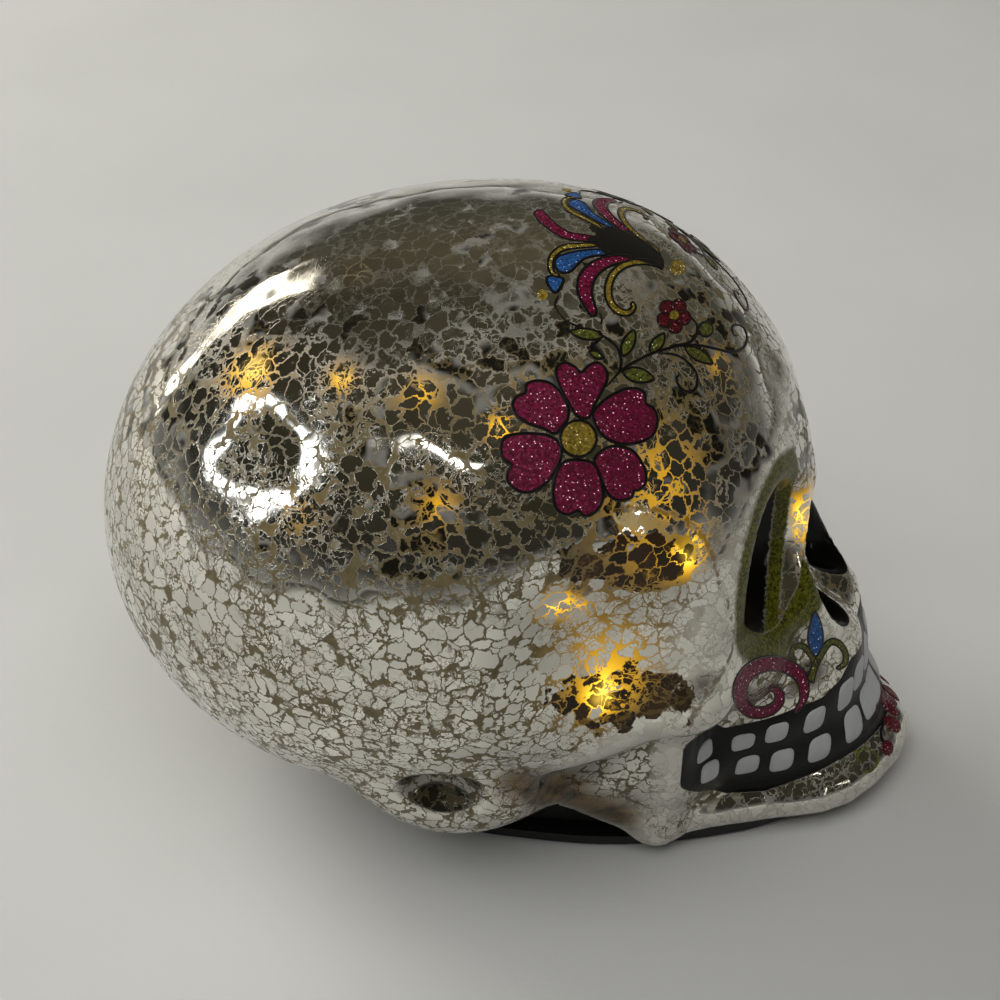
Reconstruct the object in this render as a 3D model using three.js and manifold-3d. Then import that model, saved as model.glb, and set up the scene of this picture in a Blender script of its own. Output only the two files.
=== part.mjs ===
// A blown-glass skull lamp: a silvered glass shell on a moulded battery base, lit from inside by a wire
// string of small lights. Millimetres, +Z up, the face looks along -Y, symmetric about the plane X = 0.
// The origin is under the middle of the object, on the table.

import * as THREE from 'three';
import Module from 'manifold-3d';
import { mergeVertices } from 'three/addons/utils/BufferGeometryUtils.js';

// Driving dimensions
const SKULL_LENGTH = 164.0;      // chin to back of the head, along Y
const SKULL_WIDTH = 122.4;       // across the brain case, along X
const SKULL_HEIGHT = 119.6;      // table to crown, along Z
const GLASS_WALL = 2.4;          // blown wall
const CELL_DIAMETER = 10.5;      // standard small cylindrical cell
const CELL_LENGTH = 44.5;        // with its nub
const CELL_COUNT = 3;
const FOOT_HEIGHT = 1.0;         // foot pads lift the base off the table
const PLATE_THICKNESS = 2.2;     // flange the glass stands on
const MOULD_WALL = 1.6;          // plastic walls of the base
const STRING_RADIUS = 0.45;      // twisted pair of lacquered wires, drawn as one
const SPRING_WIRE_RADIUS = 0.25;

// Clearances
const PART_GAP = 0.3;            // between parts that don't touch
const RUNNING_GAP = 0.05;        // pin in its knuckle
const SWING_GAP = 0.6;           // behind the door, where its corner turns
const GLUE_ROOM = 1.4;           // between the base's wall and the cut edge of the glass
const CELL_ROOM = 0.4;           // round the cells
const END_ROOM = 3.25;           // at each end of a cell, for spring or button

// The form is drawn in shares of the skull, which is so many shares long, wide and high
const LENGTH_SHARES = 164.0;
const WIDTH_SHARES = 122.4;
const HEIGHT_SHARES = 119.6;
const SX = SKULL_WIDTH / WIDTH_SHARES;
const SY = SKULL_LENGTH / LENGTH_SHARES;
const SZ = SKULL_HEIGHT / HEIGHT_SHARES;

// Heights of the base, from the table up
const BASE_BOTTOM = FOOT_HEIGHT;
const FLANGE_TOP = BASE_BOTTOM + PLATE_THICKNESS;
const DOOR_THICKNESS = 1.6;
const DOOR_TOP = BASE_BOTTOM + DOOR_THICKNESS;
const CELL_RADIUS = CELL_DIAMETER / 2;
const CELL_AXIS_Z = DOOR_TOP + PART_GAP + CELL_RADIUS;
const BAY_TOP = CELL_AXIS_Z + CELL_RADIUS + CELL_ROOM;
const TUB_TOP = BAY_TOP + MOULD_WALL;
const DECK_BOTTOM = TUB_TOP + CELL_ROOM;
const DECK_THICKNESS = 1.5;
const DECK_TOP = DECK_BOTTOM + DECK_THICKNESS;

// The base is as wide as the cells that lie across it, and the jaw that stands on it follows the base
const SPIGOT_INSET = 5.0;
const SIDE_ROOM = 1.2;
const BAY_HALF_X = CELL_LENGTH / 2 + END_ROOM;
const BASE_HALF_X = BAY_HALF_X + MOULD_WALL + SIDE_ROOM + MOULD_WALL + SPIGOT_INSET;
const BASE_WIDTH_SHARES = 69.8;
const BASE_SX = 2 * BASE_HALF_X / BASE_WIDTH_SHARES;
const JAW_LEVEL_SHARE = 16;
const BRAIN_LEVEL_SHARE = 48;
const LEAST_SCALE = Math.min(SX, BASE_SX, SY, SZ);

// How finely round things are cut
const WELD = 1e-4;
const POST_SIDES = 16;

const wasm = await Module();
wasm.setup();

// Small helpers

function toSolid(geometry) {
  const bare = geometry.clone();
  bare.deleteAttribute('normal');
  bare.deleteAttribute('uv');
  const merged = mergeVertices(bare, WELD);
  const positions = new Float32Array(merged.attributes.position.array);
  const triangles = new Uint32Array(merged.index.array);
  return new wasm.Manifold(new wasm.Mesh({ numProp: 3, vertProperties: positions, triVerts: triangles }));
}

function toGeometry(solid) {
  const mesh = solid.getMesh();
  const geometry = new THREE.BufferGeometry();
  const count = mesh.vertProperties.length / mesh.numProp;
  const positions = new Float32Array(count * 3);
  for (let i = 0; i < count; i += 1) {
    for (let k = 0; k < 3; k += 1) {
      positions[i * 3 + k] = mesh.vertProperties[i * mesh.numProp + k];
    }
  }
  geometry.setAttribute('position', new THREE.BufferAttribute(positions, 3));
  geometry.setIndex(Array.from(mesh.triVerts));
  return geometry;
}

function joined(parts) {
  return parts.slice(1).reduce((whole, part) => whole.add(part), parts[0]);
}

function without(solid, cuts) {
  return cuts.reduce((whole, cut) => whole.subtract(cut), solid);
}

// A box given by its low and high corners
function block(low, high) {
  const size = high.map((v, k) => v - low[k]);
  const geometry = new THREE.BoxGeometry(size[0], size[1], size[2]);
  geometry.translate((low[0] + high[0]) / 2, (low[1] + high[1]) / 2, (low[2] + high[2]) / 2);
  return toSolid(geometry);
}

// An upright round post from z0 to z1
function post(radius, x, y, z0, z1, sides = POST_SIDES) {
  const geometry = new THREE.CylinderGeometry(radius, radius, z1 - z0, sides);
  geometry.rotateX(Math.PI / 2);
  geometry.translate(x, y, (z0 + z1) / 2);
  return toSolid(geometry);
}

// A round bar along X from x0 to x1
function barX(radius, x0, x1, y, z, sides = POST_SIDES) {
  const geometry = new THREE.CylinderGeometry(radius, radius, x1 - x0, sides);
  geometry.rotateZ(Math.PI / 2);
  geometry.translate((x0 + x1) / 2, y, z);
  return toSolid(geometry);
}

// A closed plan outline raised from z0 to z1
function prism(outline, z0, z1) {
  const geometry = new THREE.ExtrudeGeometry(new THREE.Shape(outline), { depth: z1 - z0, bevelEnabled: false });
  geometry.translate(0, 0, z0);
  return toSolid(geometry);
}

// The skull's form: soft unions and soft cuts of ellipsoids and tapered bars

function softMin(a, b, k) {
  const h = THREE.MathUtils.clamp(0.5 + 0.5 * (b - a) / k, 0, 1);
  return b * (1 - h) + a * h - k * h * (1 - h);
}

function softMax(a, b, k) {
  return -softMin(-a, -b, k);
}

// Distance to an ellipsoid leaning by tilt about X and roll about Y
function ellipsoid(p, share) {
  const [cx, cy, cz] = share.at;
  const [rx, ry, rz] = share.radii;
  const tilt = THREE.MathUtils.degToRad(share.tilt ?? 0);
  const roll = THREE.MathUtils.degToRad(share.roll ?? 0);
  const dx = p[0] - cx;
  const dy = p[1] - cy;
  const dz = p[2] - cz;
  const y1 = dy * Math.cos(tilt) + dz * Math.sin(tilt);
  const z1 = -dy * Math.sin(tilt) + dz * Math.cos(tilt);
  const x2 = dx * Math.cos(roll) - z1 * Math.sin(roll);
  const z2 = dx * Math.sin(roll) + z1 * Math.cos(roll);
  const k0 = Math.hypot(x2 / rx, y1 / ry, z2 / rz);
  const k1 = Math.hypot(x2 / (rx * rx), y1 / (ry * ry), z2 / (rz * rz)) + Number.EPSILON;
  return k0 * (k0 - 1) / k1;
}

// Distance to a chain of round bars whose radius changes from point to point
function chain(p, share) {
  let least = Infinity;
  for (let i = 0; i + 1 < share.along.length; i += 1) {
    const a = share.along[i];
    const b = share.along[i + 1];
    const ab = [b[0] - a[0], b[1] - a[1], b[2] - a[2]];
    const ap = [p[0] - a[0], p[1] - a[1], p[2] - a[2]];
    const along = (ap[0] * ab[0] + ap[1] * ab[1] + ap[2] * ab[2]) / (ab[0] ** 2 + ab[1] ** 2 + ab[2] ** 2);
    const t = THREE.MathUtils.clamp(along, 0, 1);
    const away = Math.hypot(ap[0] - t * ab[0], ap[1] - t * ab[1], ap[2] - t * ab[2]);
    least = Math.min(least, away - (share.radii[i] + (share.radii[i + 1] - share.radii[i]) * t));
  }
  return least;
}

// A chain drawn as curved runs smoothly through its points, in this many bars from one point to the next
const BARS_PER_SPAN = 3;

function curvedChain(share) {
  const curve = new THREE.CatmullRomCurve3(share.along.map((p) => new THREE.Vector3(...p)), false, 'catmullrom');
  const count = BARS_PER_SPAN * (share.along.length - 1);
  const along = [];
  const radii = [];
  for (let i = 0; i <= count; i += 1) {
    const span = Math.min(Math.floor(i / BARS_PER_SPAN), share.along.length - 2);
    const t = i / BARS_PER_SPAN - span;
    along.push(curve.getPoint(i / count).toArray());
    radii.push(share.radii[span] + (share.radii[span + 1] - share.radii[span]) * t);
  }
  return { ...share, along, radii };
}

// Masses of one half of the skull, joined in this order; blend is how softly each one runs into the rest
const MASS_SHARES = [
  { name: 'brain case', at: [0, 12.7, 62.1], radii: [61.2, 56.9, 67.9], tilt: 73.6, blend: 1 },
  { name: 'forehead', at: [0, -9.0, 67.7], radii: [51.4, 40.4, 43.4], blend: 18 },
  { name: 'mid face', at: [0, -30, 50], radii: [35, 25, 26], blend: 10 },
  { name: 'upper jaw', at: [0, -38, 30], radii: [30, 34.5, 19], blend: 9 },
  { name: 'lower jaw', at: [0, -36, 18], radii: [28.2, 40.8, 15], blend: 6 },
  { name: 'jaw rim', along: [[31.6, -33, 7.5], [27, -43.5, 7.2], [22.8, -55.5, 7.1], [16.4, -69, 7.3], [0, -78, 8],
    [-16.4, -69, 7.3]], radii: [4.4, 4.3, 4.3, 5.2, 6, 5.2], blend: 6, curved: true },
  { name: 'behind the jaw', along: [[36, 0, 30], [34, -18, 26], [27.5, -37, 21]], radii: [10, 8, 7], blend: 8 },
  { name: 'ramus, lower edge', along: [[32.6, -33, 7.6], [37.6, -14, 22], [42, -6, 29]], radii: [4, 4.6, 6], blend: 4 },
  { name: 'ramus, front edge', along: [[32.2, -33, 10], [35, -36, 42]], radii: [4, 5], blend: 5 },
  { name: 'cheek arch', along: [[44, 0, 40], [46, -16, 43.5], [43, -31, 49], [40.5, -38, 52]],
    radii: [6, 6, 5.5, 5], blend: 4, curved: true },
  { name: 'orbit rim', along: [[40.5, -37.5, 52], [36.5, -38.5, 70], [27, -39.5, 85], [8, -44, 88]],
    radii: [5, 4.2, 3.8, 3.5], blend: 7, curved: true },
  { name: 'under the orbit', along: [[39, -37, 51], [26, -46.5, 47], [11, -51, 50]], radii: [6, 6.5, 5], blend: 8 },
  { name: 'nasal bones', along: [[0, -44, 90], [0, -49, 78], [0, -52.5, 71]], radii: [5.5, 5, 4.2], blend: 5 },
  { name: 'nose rim', along: [[8, -49, 74], [9.5, -51, 60], [11, -58.5, 47], [8, -63, 38]],
    radii: [4, 4, 4.5, 6], blend: 6, curved: true },
  { name: 'ear boss', at: [44, 6, 29], radii: [10.5, 17, 14], blend: 8 },
].map((share) => (share.curved ? curvedChain(share) : share));

// Hollows pressed into it
const HOLLOW_SHARES = [
  { name: 'ear', at: [60, 5.5, 32.5], radii: [10, 9, 6], roll: 15, blend: 2 },
  { name: 'under the arch', at: [50, -24, 28.5], radii: [9, 12, 10], blend: 3 },
  { name: 'eye socket', at: [24, -58, 69], radii: [14.5, 18, 16], blend: 3 },
  { name: 'nose lobe', at: [6, -64, 55.5], radii: [5.6, 10.5, 12.5], roll: -12, blend: 2 },
  { name: 'temple', at: [78, -27, 70], radii: [31, 24, 24], blend: 10 },
];

// From the base's width at the jaw to the skull's own width at the brain case
function widthScale(z) {
  return BASE_SX + (SX - BASE_SX) * THREE.MathUtils.smoothstep(z / SZ, JAW_LEVEL_SHARE, BRAIN_LEVEL_SHARE);
}

// Distance to the form, with its hollows swollen by spare
function formDistance(x, y, z, spare = 0) {
  const p = [Math.abs(x / widthScale(z)), y / SY, z / SZ];
  let d = null;
  for (const share of MASS_SHARES) {
    const own = share.along ? chain(p, share) : ellipsoid(p, share);
    d = d === null ? own : softMin(d, own, share.blend);
  }
  for (const share of HOLLOW_SHARES) {
    d = softMax(d, spare - ellipsoid(p, share), share.blend);
  }
  return d * LEAST_SCALE;
}

// How far out along a ray the surface lies that is set so far inside the outer one
const RAY_START = 1.6 * SKULL_LENGTH;
const RAY_STEP_SHARE = 0.7;
const RAY_STEPS = 140;
const RAY_NEAR = 0.004;

function reach(from, direction, inset) {
  let r = RAY_START;
  for (let i = 0; i < RAY_STEPS; i += 1) {
    const d = formDistance(from.x + direction.x * r, from.y + direction.y * r, from.z + direction.z * r) + inset;
    if (d < RAY_NEAR) break;
    r -= d * RAY_STEP_SHARE;
  }
  return r;
}

// Grid lines for sampling the form: close together on the face, wide apart on the smooth brain case
const GRID_X_SHARES = { low: 0, high: 67, fine: 3.6, coarse: 7.0, from: 26, to: 58 };
const GRID_Y_SHARES = { low: -88, high: 90, fine: 3.2, coarse: 10.5, from: -40, to: 30 };
const GRID_Z_SHARES = { low: -3, high: 127, fine: 3.6, coarse: 9.0, from: 60, to: 112 };

function gridLines(shares, scale, widen) {
  const lines = [shares.low * scale];
  while (lines[lines.length - 1] < shares.high * scale) {
    const at = lines[lines.length - 1] / scale;
    const t = THREE.MathUtils.clamp((at - shares.from) / (shares.to - shares.from), 0, 1);
    lines.push(lines[lines.length - 1] + (shares.fine + (shares.coarse - shares.fine) * t) * scale * widen);
  }
  return lines;
}

function mirrored(lines) {
  return [...lines.slice(1).reverse().map((v) => -v), ...lines];
}

// Closed skin where a distance is zero: one point in each grid cell that the surface crosses, where the
// surface's tangent planes meet, and a four-sided face across each grid line it crosses
const SETTLE_STEPS = 3;
const SETTLE_LIMIT = 0.3;
const SLOPE_STEP = 0.05;
const CRISP_PULL = 0.12;         // a weak pull to the middle of its crossings keeps the point in place on flats
const ROUND_PULL = 8;            // a strong one rounds the edges, as inside blown glass

function skin(distance, widen, pull) {
  const xs = mirrored(gridLines(GRID_X_SHARES, SX, widen));
  const ys = gridLines(GRID_Y_SHARES, SY, widen);
  const zs = gridLines(GRID_Z_SHARES, SZ, widen);
  const [nx, ny, nz] = [xs.length, ys.length, zs.length];
  const index = (i, j, k) => i + nx * (j + ny * k);
  const values = new Float64Array(nx * ny * nz);
  for (let k = 0; k < nz; k += 1) {
    for (let j = 0; j < ny; j += 1) {
      for (let i = 0; i < nx; i += 1) {
        values[index(i, j, k)] = distance(xs[i], ys[j], zs[k]);
      }
    }
  }
  fillCheckers(values, [nx, ny, nz], index);
  const points = [];
  const cellPoint = new Map();
  for (let k = 0; k + 1 < nz; k += 1) {
    for (let j = 0; j + 1 < ny; j += 1) {
      for (let i = 0; i + 1 < nx; i += 1) {
        const point = cornerPoint(distance, [xs, ys, zs], values, index, [i, j, k], pull);
        if (point === null) continue;
        cellPoint.set(index(i, j, k), points.length / 3);
        points.push(...settled(distance, point));
      }
    }
  }
  const faces = [];
  const quad = (a, b, c, d, flip) => {
    const ring = [a, b, c, d].map((cell) => cellPoint.get(cell));
    if (flip) ring.reverse();
    faces.push(ring[0], ring[1], ring[2], ring[0], ring[2], ring[3]);
  };
  for (let k = 1; k + 1 < nz; k += 1) {
    for (let j = 1; j + 1 < ny; j += 1) {
      for (let i = 1; i + 1 < nx; i += 1) {
        const here = values[index(i, j, k)] < 0;
        if (here !== values[index(i + 1, j, k)] < 0) {
          quad(index(i, j - 1, k - 1), index(i, j, k - 1), index(i, j, k), index(i, j - 1, k), !here);
        }
        if (here !== values[index(i, j + 1, k)] < 0) {
          quad(index(i - 1, j, k - 1), index(i - 1, j, k), index(i, j, k), index(i, j, k - 1), !here);
        }
        if (here !== values[index(i, j, k + 1)] < 0) {
          quad(index(i - 1, j - 1, k), index(i, j - 1, k), index(i, j, k), index(i - 1, j, k), !here);
        }
      }
    }
  }
  const geometry = new THREE.BufferGeometry();
  geometry.setAttribute('position', new THREE.BufferAttribute(new Float32Array(points), 3));
  geometry.setIndex(faces);
  return geometry;
}

// Where a grid face has its inner corners on one diagonal and its outer ones on the other, the skin would
// touch itself, so the outer corner nearest to the surface is taken as inside
const FILL_DEPTH = 0.02;

function fillCheckers(values, [nx, ny, nz], index) {
  const axes = [[1, 0, 0], [0, 1, 0], [0, 0, 1]];
  for (let again = true; again;) {
    again = false;
    for (let k = 0; k + 1 < nz; k += 1) {
      for (let j = 0; j + 1 < ny; j += 1) {
        for (let i = 0; i + 1 < nx; i += 1) {
          for (let a = 0; a < 3; a += 1) {
            const u = axes[a];
            const v = axes[(a + 1) % 3];
            const corners = [[0, 0], [1, 0], [1, 1], [0, 1]].map(([m, n]) => (
              index(i + m * u[0] + n * v[0], j + m * u[1] + n * v[1], k + m * u[2] + n * v[2])));
            const inside = corners.map((c) => values[c] < 0);
            if (inside[0] === inside[1] || inside[0] !== inside[2] || inside[1] !== inside[3]) continue;
            const outer = corners.filter((c, n) => !inside[n]);
            values[values[outer[0]] < values[outer[1]] ? outer[0] : outer[1]] = -FILL_DEPTH;
            again = true;
          }
        }
      }
    }
  }
}

// The slope of a distance at a point
function slopeAt(distance, p) {
  return [0, 1, 2].map((axis) => {
    const ahead = p.map((v, k) => (k === axis ? v + SLOPE_STEP : v));
    const behind = p.map((v, k) => (k === axis ? v - SLOPE_STEP : v));
    return (distance(...ahead) - distance(...behind)) / (2 * SLOPE_STEP);
  });
}

// Places where the surface crosses a cell's twelve edges
function edgeCrossings(distance, lines, values, index, cell) {
  const corner = (c) => cell.map((v, axis) => v + ((c >> axis) & 1));
  const crossings = [];
  for (let c = 0; c < 8; c += 1) {
    for (let axis = 0; axis < 3; axis += 1) {
      if ((c >> axis) & 1) continue;
      const from = corner(c);
      const to = corner(c | (1 << axis));
      const a = values[index(...from)];
      const b = values[index(...to)];
      if (a < 0 === b < 0) continue;
      const start = from.map((v, k) => lines[k][v]);
      const span = lines[axis][to[axis]] - lines[axis][from[axis]];
      const at = (t) => start.map((v, k) => (k === axis ? v + t * span : v));
      let t = a / (a - b);
      const d = distance(...at(t));
      t = d < 0 === a < 0 ? t + (1 - t) * d / (d - b) : t * a / (a - d);
      crossings.push(at(THREE.MathUtils.clamp(t, 0, 1)));
    }
  }
  return crossings;
}

// The point of a cell that lies best on the tangent planes of all its crossings, or null
function cornerPoint(distance, lines, values, index, cell, pull) {
  const crossings = edgeCrossings(distance, lines, values, index, cell);
  if (crossings.length === 0) return null;
  const mean = [0, 1, 2].map((k) => crossings.reduce((sum, p) => sum + p[k], 0) / crossings.length);
  const planes = new THREE.Matrix3().multiplyScalar(pull).elements;
  const push = [0, 0, 0];
  for (const p of crossings) {
    const slope = slopeAt(distance, p);
    const length = Math.hypot(...slope);
    const n = slope.map((v) => v / length);
    const off = n.reduce((sum, v, k) => sum + v * (p[k] - mean[k]), 0);
    for (let r = 0; r < 3; r += 1) {
      for (let c = 0; c < 3; c += 1) {
        planes[r + 3 * c] += n[r] * n[c];
      }
      push[r] += n[r] * off;
    }
  }
  const shift = new THREE.Vector3(...push).applyMatrix3(new THREE.Matrix3().fromArray(planes).invert()).toArray();
  return mean.map((v, k) => (
    THREE.MathUtils.clamp(v + shift[k], lines[k][cell[k]], lines[k][cell[k] + 1])));
}

// Moves a point along the slope onto the surface
function settled(distance, start) {
  const p = [...start];
  for (let step = 0; step < SETTLE_STEPS; step += 1) {
    const d = THREE.MathUtils.clamp(distance(...p), -SETTLE_LIMIT, SETTLE_LIMIT);
    const slope = slopeAt(distance, p);
    const steep = Math.max(slope[0] ** 2 + slope[1] ** 2 + slope[2] ** 2, 1 / 4);
    slope.forEach((v, k) => {
      p[k] -= d * v / steep;
    });
  }
  return p;
}

// Plan of the base: half outline from the chin to the back, as drawn shares of (x, y)
const FOOTPRINT_SHARES = [
  [0, -77], [9, -75.5], [15, -70.5], [18.4, -66], [22.9, -58.4], [26.2, -52.4], [29.9, -42.5], [32.8, -32.6],
  [34.4, -22.7], [34.9, -12.7], [34.7, 0], [34.0, 8], [32.4, 15], [28, 23.5], [20, 30.5], [10, 34.3], [0, 35.5],
];
const FOOTPRINT_POINTS = 60;

function footprint(inset) {
  const half = FOOTPRINT_SHARES.map(([x, y]) => new THREE.Vector3(x * BASE_SX, y * SY, 0));
  const other = half.slice(1, -1).reverse().map((v) => new THREE.Vector3(-v.x, v.y, 0));
  const curve = new THREE.CatmullRomCurve3([...half, ...other], true, 'centripetal');
  const outline = [];
  for (let i = 0; i < FOOTPRINT_POINTS; i += 1) {
    const u = i / FOOTPRINT_POINTS;
    const point = curve.getPointAt(u);
    const along = curve.getTangentAt(u);
    outline.push(new THREE.Vector2(point.x - along.y * inset, point.y + along.x * inset));
  }
  return outline;
}

const GLASS_CUT_INSET = SPIGOT_INSET - GLUE_ROOM;
const GLASS_CUT_TOP = 20.0 * SZ;
const FAR = 2 * SKULL_LENGTH;
const INNER_WIDEN = 1.9;
const HOLLOW_SPARE = 1.0;        // the wall is thicker where a hollow is pressed in

function glassSkull() {
  const outer = toSolid(skin(formDistance, 1, CRISP_PULL));
  const within = (x, y, z) => formDistance(x, y, z, HOLLOW_SPARE) + GLASS_WALL;
  const inner = toSolid(skin(within, INNER_WIDEN, ROUND_PULL));
  const underFlange = block([-FAR, -FAR, -FAR], [FAR, FAR, FLANGE_TOP]);
  const opening = prism(footprint(GLASS_CUT_INSET), -GLASS_CUT_TOP, GLASS_CUT_TOP);
  return without(outer, [inner, underFlange, opening]);
}

// The seal is a sleeve round the base's wall, as high as the deck, that the glass is glued to
function sealRing() {
  const outside = prism(footprint(GLASS_CUT_INSET + PART_GAP), FLANGE_TOP, DECK_BOTTOM);
  const inside = prism(footprint(SPIGOT_INSET - PART_GAP), 0, FAR);
  return outside.subtract(inside);
}

// The cell bay, its door and the door's hinge at the back edge
const CELL_PITCH = CELL_DIAMETER + CELL_ROOM;
const BAY_LENGTH_Y = CELL_COUNT * CELL_PITCH + CELL_ROOM;
const BAY_MIDDLE_Y = -9.0 * SY;
const BAY_FRONT_Y = BAY_MIDDLE_Y - BAY_LENGTH_Y / 2;
const BAY_BACK_Y = BAY_MIDDLE_Y + BAY_LENGTH_Y / 2;
const DOOR_LAP = 1.1;
const DOOR_HALF_X = BAY_HALF_X + DOOR_LAP;
const DOOR_FRONT_Y = BAY_FRONT_Y - DOOR_LAP;
const DOOR_BACK_Y = BAY_BACK_Y + DOOR_LAP;
const KNUCKLE_RADIUS = 1.6;
const KNUCKLE_HALF_X = 11.7;
const HINGE_REACH = 3.0;
const HINGE_Y = DOOR_BACK_Y + HINGE_REACH;
const HINGE_Z = BASE_BOTTOM + KNUCKLE_RADIUS + WELD;
const PIN_RADIUS = 0.7;
const PIN_HALF_X = 15.0;
const PIN_BLOCK_HALF_X = PIN_HALF_X + MOULD_WALL;
const POCKET_FRONT_Y = DOOR_BACK_Y + SWING_GAP;
const POCKET_BACK_Y = HINGE_Y + KNUCKLE_RADIUS + PART_GAP;
const POCKET_TOP = HINGE_Z + KNUCKLE_RADIUS + PART_GAP;
const LATCH_HALF_X = 6.0;
const LATCH_REACH = 3.0;
const LATCH_GRIP_Y = 1.2;
const LATCH_GRIP_Z = 0.7;

function batteryDoor() {
  const plate = block([-DOOR_HALF_X, DOOR_FRONT_Y, BASE_BOTTOM], [DOOR_HALF_X, DOOR_BACK_Y, DOOR_TOP]);
  const arm = block([-KNUCKLE_HALF_X, DOOR_BACK_Y - DOOR_LAP, BASE_BOTTOM], [KNUCKLE_HALF_X, HINGE_Y, DOOR_TOP]);
  const knuckle = barX(KNUCKLE_RADIUS, -KNUCKLE_HALF_X, KNUCKLE_HALF_X, HINGE_Y, HINGE_Z);
  const latch = block([-LATCH_HALF_X, DOOR_FRONT_Y - LATCH_REACH, BASE_BOTTOM],
    [LATCH_HALF_X, DOOR_FRONT_Y + DOOR_LAP, DOOR_TOP]);
  const bore = barX(PIN_RADIUS + RUNNING_GAP, -PIN_HALF_X, PIN_HALF_X, HINGE_Y, HINGE_Z);
  const grip = block([-LATCH_HALF_X / 2, DOOR_FRONT_Y - LATCH_REACH + LATCH_GRIP_Y, BASE_BOTTOM - LATCH_GRIP_Z],
    [LATCH_HALF_X / 2, DOOR_FRONT_Y - LATCH_REACH + 2 * LATCH_GRIP_Y, BASE_BOTTOM + LATCH_GRIP_Z]);
  return without(joined([plate, arm, knuckle, latch]), [bore, grip]);
}

// The electronics sit in the chin, in front of the cells
const BOARD_MIDDLE_Y = -47.0 * SY;
const BOARD_HALF_X = 15.5;
const BOARD_HALF_Y = 7.5;
const BOARD_THICKNESS = 1.2;
const BOARD_LIFT = 4.8;          // room for the switch under the board
const BOARD_BOTTOM = FLANGE_TOP + BOARD_LIFT;
const BOARD_TOP = BOARD_BOTTOM + BOARD_THICKNESS;
const BOARD_POST_X = 12.5;
const BOARD_POST_RADIUS = 2.4;
const SCREW_SHANK_RADIUS = 0.9;
const SCREW_BORE_RADIUS = SCREW_SHANK_RADIUS + PART_GAP;
const SCREW_HEAD_RADIUS = 1.9;
const SCREW_HEAD_HEIGHT = 1.3;
const SCREW_LENGTH = 4.2;
const SCREW_CROSS_WIDTH = 0.6;
const SCREW_CROSS_DEPTH = 0.6;
const SCREW_SIDES = 12;

function screw(x, y, seatZ) {
  const head = post(SCREW_HEAD_RADIUS, x, y, seatZ, seatZ + SCREW_HEAD_HEIGHT, SCREW_SIDES);
  const shank = post(SCREW_SHANK_RADIUS, x, y, seatZ - SCREW_LENGTH, seatZ, SCREW_SIDES);
  const reachX = SCREW_HEAD_RADIUS - SCREW_CROSS_WIDTH;
  const half = SCREW_CROSS_WIDTH / 2;
  const floor = seatZ + SCREW_HEAD_HEIGHT - SCREW_CROSS_DEPTH;
  const across = block([x - reachX, y - half, floor], [x + reachX, y + half, FAR]);
  const along = block([x - half, y - reachX, floor], [x + half, y + reachX, FAR]);
  return without(head.add(shank), [across, along]);
}

// Slide switch: a steel can under the board, its knob in a slot of the base
const SWITCH_TRAVEL = 4.0;
const KNOB_HALF_X = 1.7;
const KNOB_HALF_Y = 1.4;
const KNOB_SINK = 0.2;           // the knob stays inside the base
const KNOB_BOTTOM = BASE_BOTTOM + KNOB_SINK;
const KNOB_FLANGE_HALF_X = 3.0;
const KNOB_FLANGE_HALF_Y = 2.2;
const KNOB_FLANGE_LIFT = 1.4;
const KNOB_FLANGE_THICKNESS = 1.0;
const KNOB_FLANGE_BOTTOM = FLANGE_TOP + KNOB_FLANGE_LIFT;
const KNOB_FLANGE_TOP = KNOB_FLANGE_BOTTOM + KNOB_FLANGE_THICKNESS;
const CAN_BOTTOM = FLANGE_TOP + PART_GAP;
const CAN_WALL = 0.6;
const CAN_MIDDLE_X = SWITCH_TRAVEL / 2;
const CAN_HALF_X = KNOB_FLANGE_HALF_X + SWITCH_TRAVEL / 2 + PART_GAP + CAN_WALL;
const CAN_HALF_Y = KNOB_FLANGE_HALF_Y + PART_GAP + CAN_WALL;
const CAN_FLOOR_TOP = CAN_BOTTOM + CAN_WALL;
const SLOT_HALF_X = KNOB_HALF_X + SWITCH_TRAVEL / 2 + PART_GAP;
const SLOT_HALF_Y = KNOB_HALF_Y + PART_GAP;
const THUMB_RECESS = 1.8;
const THUMB_RECESS_DEPTH = 0.9;

function switchCan() {
  const y = BOARD_MIDDLE_Y;
  const outside = block([CAN_MIDDLE_X - CAN_HALF_X, y - CAN_HALF_Y, CAN_BOTTOM],
    [CAN_MIDDLE_X + CAN_HALF_X, y + CAN_HALF_Y, BOARD_BOTTOM]);
  const room = block([CAN_MIDDLE_X - CAN_HALF_X + CAN_WALL, y - CAN_HALF_Y + CAN_WALL, CAN_FLOOR_TOP],
    [CAN_MIDDLE_X + CAN_HALF_X - CAN_WALL, y + CAN_HALF_Y - CAN_WALL, BOARD_BOTTOM - CAN_WALL]);
  const slot = block([CAN_MIDDLE_X - SLOT_HALF_X, y - SLOT_HALF_Y, 0],
    [CAN_MIDDLE_X + SLOT_HALF_X, y + SLOT_HALF_Y, CAN_FLOOR_TOP + CAN_WALL]);
  return without(outside, [room, slot]);
}

function switchKnob() {
  const y = BOARD_MIDDLE_Y;
  const stem = block([-KNOB_HALF_X, y - KNOB_HALF_Y, KNOB_BOTTOM], [KNOB_HALF_X, y + KNOB_HALF_Y, KNOB_FLANGE_TOP]);
  const flange = block([-KNOB_FLANGE_HALF_X, y - KNOB_FLANGE_HALF_Y, KNOB_FLANGE_BOTTOM],
    [KNOB_FLANGE_HALF_X, y + KNOB_FLANGE_HALF_Y, KNOB_FLANGE_TOP]);
  return stem.add(flange);
}

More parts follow.
